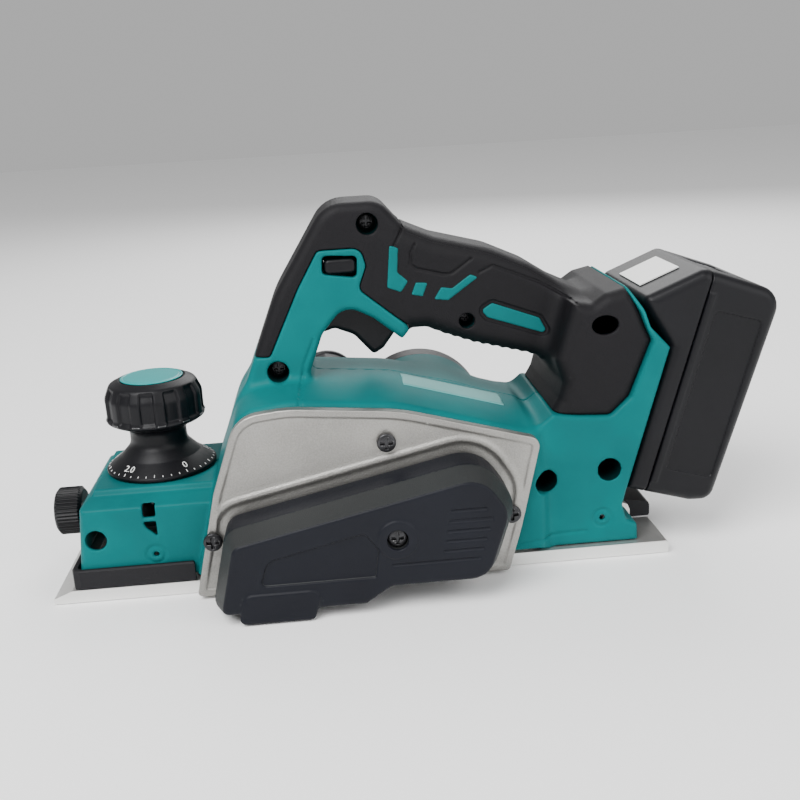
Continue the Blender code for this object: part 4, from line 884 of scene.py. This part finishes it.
# ---- front end ----
def depth_knob():
    """Lobed grip head on a flared waist, with its graduated disc and cap."""
    centre = (KNOB_X, 0, 0)

    def lobes(angles, radius, along):
        """Sunk panels round the head, fading out at its two edges."""
        low, high = HEAD_SIDE
        if not low < along < high or radius < 18:
            return 0 * angles
        fade = min(1.0, (along - low) / 1.6, (high - along) / 1.6)
        panel = np.clip(np.cos(LOBES * angles) * 2.6 + 0.9, 0, 1)
        return -1.25 * panel * fade

    corners = [
        (4.4, 50.4), (26.2, 50.4, 0.4), (*DIAL_LOW, 0.5), (*DIAL_HIGH, 4), (13.6, 63.0, 6),
        (13.4, 70.5, 4), (21.4, 74.2, 2), (23.3, 75.4, 0.8), (23.3, 77.0, 0.6), (23.0, 78.0, 0.5),
        (23.1, 87.0, 6), (20.6, 92.8, 3), (15.7, 95.0, 0.5), (15.4, 94.3, 0.3), (4.4, 94.3)]
    profile = dense([(p.x, p.y) for p in rounded(corners, 5)], 0.7)
    knob = lathe("depth_knob_grip", profile, centre, "Z", BLACK, "depth_control", 288, lobes)
    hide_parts("depth_knob")
    for k in range(LOBES):
        angle = 2 * math.pi * (k + 0.5) / LOBES
        g = Grid((-2.6, -0.6, -0.7), (2.6, 0.6, 0.7), 0.25)
        tab = skin(f"knob_tab_{k + 1}", g, bar(g, (-2.0, -0.35, -0.4), (2.0, 0.35, 0.4), 0.3),
                   DARK, "depth_control")
        turn_to(tab, angle, 23.25, 76.3)
    cap_corners = [(0.0, 94.7), (14.8, 94.7, 0.2), (14.8, 95.3, 0.2), (14.0, 95.5, 0.2),
                   (13.4, 95.2, 0.2), (12.8, 95.5, 0.3), (0.0, 95.75)]
    cap_profile = [(p.x, p.y) for p in rounded(cap_corners, 3)]
    cap = lathe("depth_knob_cap", cap_profile, centre, "Z", CAP_TEAL, "depth_control", 144)
    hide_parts("knob_cap")
    dial_marks()


def turn_to(piece, angle, reach, height, tilt=0.0):
    """Puts a piece made at the origin, facing -Y, on the knob at that bearing."""
    spot = Matrix.Translation(Vector((KNOB_X, 0, height)) * MM)
    turn = Matrix.Rotation(angle, 4, "Z")
    out = Matrix.Translation(Vector((0, -reach, 0)) * MM)
    piece.matrix_world = spot @ turn @ out @ Matrix.Rotation(tilt, 4, "X")


def dial_marks():
    """Raised tick marks and depth figures on the cone of the disc."""
    slope = math.atan2(DIAL_LOW[1] - DIAL_HIGH[1], DIAL_LOW[0] - DIAL_HIGH[0])

    def cone_height(radius):
        """Height of the cone at that distance from the knob's axis."""
        return DIAL_LOW[1] + (radius - DIAL_LOW[0]) * math.tan(slope)

    tilt = -(math.pi / 2 + slope)
    proud = 0.05                         # how far the marks stand off the cone
    for k in range(DIAL_TICKS):
        size = 1.6 if k % 4 == 0 else 1.0
        g = Grid((-0.6, -0.5, -1.2), (0.6, 0.5, 1.2), 0.15)
        shape = bar(g, (-0.16, -0.2, -size / 2), (0.16, 0.2, size / 2), 0.1)
        tick = skin(f"dial_tick_{k + 1}", g, shape, PALE, "depth_control")
        reach = 25.6 - size / 2
        turn_to(tick, math.radians(360.0 / DIAL_TICKS * k), reach, cone_height(reach) + proud,
                tilt)
    middle_reach = 22.0
    first_angle, apart = -34.0, -360.0 / len(DIAL_FIGURES)
    for k, text in enumerate(DIAL_FIGURES):
        figure = bpy.data.objects.new(f"dial_figure_{k + 1}", figure_mesh(text))
        bpy.context.scene.collection.objects.link(figure)
        turn_to(figure, math.radians(first_angle + apart * k), middle_reach,
                cone_height(middle_reach) + proud, tilt)
        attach(figure, "depth_control")


def figure_mesh(text):
    """Raised figure standing in the XZ plane, centred on the origin."""
    letters = bpy.data.curves.new("figure", "FONT")
    letters.body = text
    letters.size = 4.8 * MM
    letters.extrude = 0.12 * MM
    letters.offset = -0.05 * MM
    letters.align_x = "CENTER"
    letters.align_y = "CENTER"
    drawn = bpy.data.objects.new("figure", letters)
    mesh = bpy.data.meshes.new_from_object(drawn)
    bpy.data.objects.remove(drawn)
    mesh.transform(Matrix.Rotation(math.pi / 2, 4, "X"))
    mesh.materials.clear()
    mesh.materials.append(PALE)
    return mesh


def thumb_knob():
    """Finely knurled clamp knob of the guide rod."""
    corners = [(2.0, -155.4), (9.8, -155.4, 0.6), (11.4, -157.0, 0.4), (11.4, -167.2, 0.5),
               (10.0, -168.6, 0.8), (5.0, -168.2, 0.5), (2.0, -168.0)]
    profile = dense([(p.x, p.y) for p in rounded(corners, 3)], 0.6)

    def knurl(angles, radius, along):
        """Forty small ribs along the gripping surface."""
        return 0.28 * np.cos(40 * angles) * (radius > 11.0)

    knob = lathe("guide_thumb_knob", profile, (0, 0, THUMB_Z), "X", BLACK, "guide_clamp", 320,
                 knurl)
    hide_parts("thumb_knob")


# ---- controls ----
def trigger():
    """Ribbed trigger with its pin."""
    g = Grid((-34.0, -11.5, 98.0), (4.0, 11.5, 127.0), 0.4)
    wide = np.abs(g.y)
    solid = prism(g.outline(TRIGGER), wide - 7.7, 2.4)
    solid = solid + 0.12 * np.cos(2 * math.pi * g.y / 2.4) * (g.z < 113)
    solid = np.minimum(solid, np.maximum(tube(g, *TRIGGER_PIN, 2.0), wide - 10.5))
    made = skin("trigger_blade", g, solid, BLACK, "squeeze_trigger")
    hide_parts("trigger")


def lock_bar():
    """Lock-off bar that passes through the leg."""
    g = Grid((-30.0, -20.0, 140.0), (-13.0, 20.0, 150.0), 0.4)
    bar_end = prism(g.outline(LOCK_BAR), np.abs(g.y) - 19.0, 1.6)
    made = skin("lock_off_bar", g, bar_end, BLACK, "lock_bar")
    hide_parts("lock_button")


# ---- battery ----
def battery():
    """Battery case in two halves, with sunk side panels and a ridge along the seam."""
    g = Grid((80.0, -39.0, 20.0), (180.0, 39.0, 138.0), CASE)
    wide = np.abs(g.y)
    outline = g.outline(BATTERY)
    solid = prism(outline, wide - BATTERY_HALF, 5.0)
    up, out = rail_axes(g)
    panel_up = np.abs(up - 54.0) - 40.0
    panel_out = np.abs(out - 27.5) - 12.5
    panel = both(both(np.maximum(panel_up, panel_out), panel_up, 4.0), panel_out, 4.0)
    solid = both(solid, -np.maximum(panel, 36.6 - wide), 0.6)
    ridge = np.maximum(np.abs(out - 12.0) - 1.0,
                       np.maximum(wide - 37.9, np.abs(up - 54.0) - 46.0))
    solid = either(solid, ridge, 1.6)
    for k in range(5):
        line = np.maximum(np.abs(up - 20.0 - 17.0 * k) - 0.6, np.abs(wide - 20.0) - 9.0)
        solid = both(solid, -np.maximum(line, 43.0 - out), 0.4)
    room = np.maximum(np.maximum(5.0 - up, up - 100.0),
                      np.maximum(np.maximum(3.2 - out, out - 41.2), wide - 33.0))
    solid = np.maximum(solid, -room)
    seat = np.maximum(np.abs(up - 110.2) - 6.0, np.maximum(np.abs(out - 22.2) - 9.3, wide - 14.5))
    for name, node, half, keep in (
            ("battery_front_case", "battery_case_front", solid, out - 9.75),
            ("battery_rear_case", "battery_case_rear", np.maximum(solid, -seat), 10.25 - out)):
        made = skin(name, g, both(half, keep, 0.5), BLACK, "battery")
        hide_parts(node)
    release_button()


def release_button():
    """Ribbed button that frees the battery, let into the top of its rear case."""
    g = Grid((146.0, -16.0, 121.0), (165.0, 16.0, 134.0), 0.4)
    up, out = rail_axes(g)
    height = np.maximum(104.9 - up, up - 108.8 + 0.05 * (out - 14))
    side = np.maximum(np.abs(out - 20.5) - 6.5, height)
    button = prism(side, np.abs(g.y) - 13.8, 1.2)
    button = button + 0.25 * np.cos(2 * math.pi * out / 2.2) * (up > 107.5)
    made = skin("battery_release_button", g, button, BLACK, "release_button")
    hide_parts("battery_button")


# ---- stage ----
LAMPS = (                                # place and size in metres, power in watts
    ("key", (-0.55, -0.75, 1.15), 0.9, 30.0),
    ("fill", (0.9, -0.9, 0.7), 1.2, 12.0),
    ("rim", (0.3, 1.0, 0.9), 1.0, 12.0),
)
CAMERA_SPOT = (-27.64, -476.5, 217.26)
CAMERA_TURN = (0.065, 0.292, -0.057)     # yaw, pitch and roll in radians


def pale_floor():
    """Plain floor just under the soles."""
    floor_mesh = bpy.data.meshes.new("floor")
    reach, height = 4.0, -0.0004         # metres
    corners = [(-reach, -reach, height), (reach, -reach, height),
               (reach, reach, height), (-reach, reach, height)]
    floor_mesh.from_pydata(corners, [], [(0, 1, 2, 3)])
    floor = bpy.data.objects.new("floor", floor_mesh)
    paint = bpy.data.materials.new("floor_paint")
    paint.use_nodes = True
    shader = paint.node_tree.nodes["Principled BSDF"]
    shader.inputs["Base Color"].default_value = (1, 1, 1, 1)
    shader.inputs["Roughness"].default_value = 0.9
    floor_mesh.materials.append(paint)
    bpy.context.scene.collection.objects.link(floor)


def studio_light():
    """Even sky and three soft lamps aimed at the middle of the body."""
    world = bpy.data.worlds.new("studio")
    world.use_nodes = True
    sky = world.node_tree.nodes["Background"]
    sky.inputs["Color"].default_value = (1, 1, 1, 1)
    sky.inputs["Strength"].default_value = 0.5
    bpy.context.scene.world = world
    for name, spot, size, power in LAMPS:
        lamp = bpy.data.lights.new(name, "AREA")
        lamp.size = size
        lamp.energy = power
        light = bpy.data.objects.new(name, lamp)
        aim = Vector((0, 0, 0.06)) - Vector(spot)
        light.location = spot
        light.rotation_euler = aim.to_track_quat("-Z", "Y").to_euler()
        bpy.context.scene.collection.objects.link(light)


def front_camera():
    """Camera in front of the belt cover, a little to the left and above."""
    yaw, pitch, roll = CAMERA_TURN
    forward = Vector((math.sin(yaw) * math.cos(pitch), math.cos(yaw) * math.cos(pitch),
                      -math.sin(pitch)))
    level = Vector((math.cos(yaw), -math.sin(yaw), 0))
    above = level.cross(forward)
    right = math.cos(roll) * level + math.sin(roll) * above
    top = -math.sin(roll) * level + math.cos(roll) * above
    lens = bpy.data.cameras.new("camera")
    lens.sensor_width = 36.0
    lens.lens = 45.466
    camera = bpy.data.objects.new("camera", lens)
    turn = Matrix((right, top, -forward)).transposed().to_4x4()
    camera.matrix_world = Matrix.Translation(Vector(CAMERA_SPOT) * MM) @ turn
    bpy.context.scene.collection.objects.link(camera)
    bpy.context.scene.camera = camera


dress_frame()
shell_grid, body_field = body_shell()
top_strip(shell_grid, body_field)
leg_rubber()
grip_rubber()
accents()
bracket_plate()
cover_shell()
all_screws()
far_side()
depth_knob()
thumb_knob()
trigger()
lock_bar()
battery()
pale_floor()
studio_light()
front_camera()
bpy.context.view_layer.update()
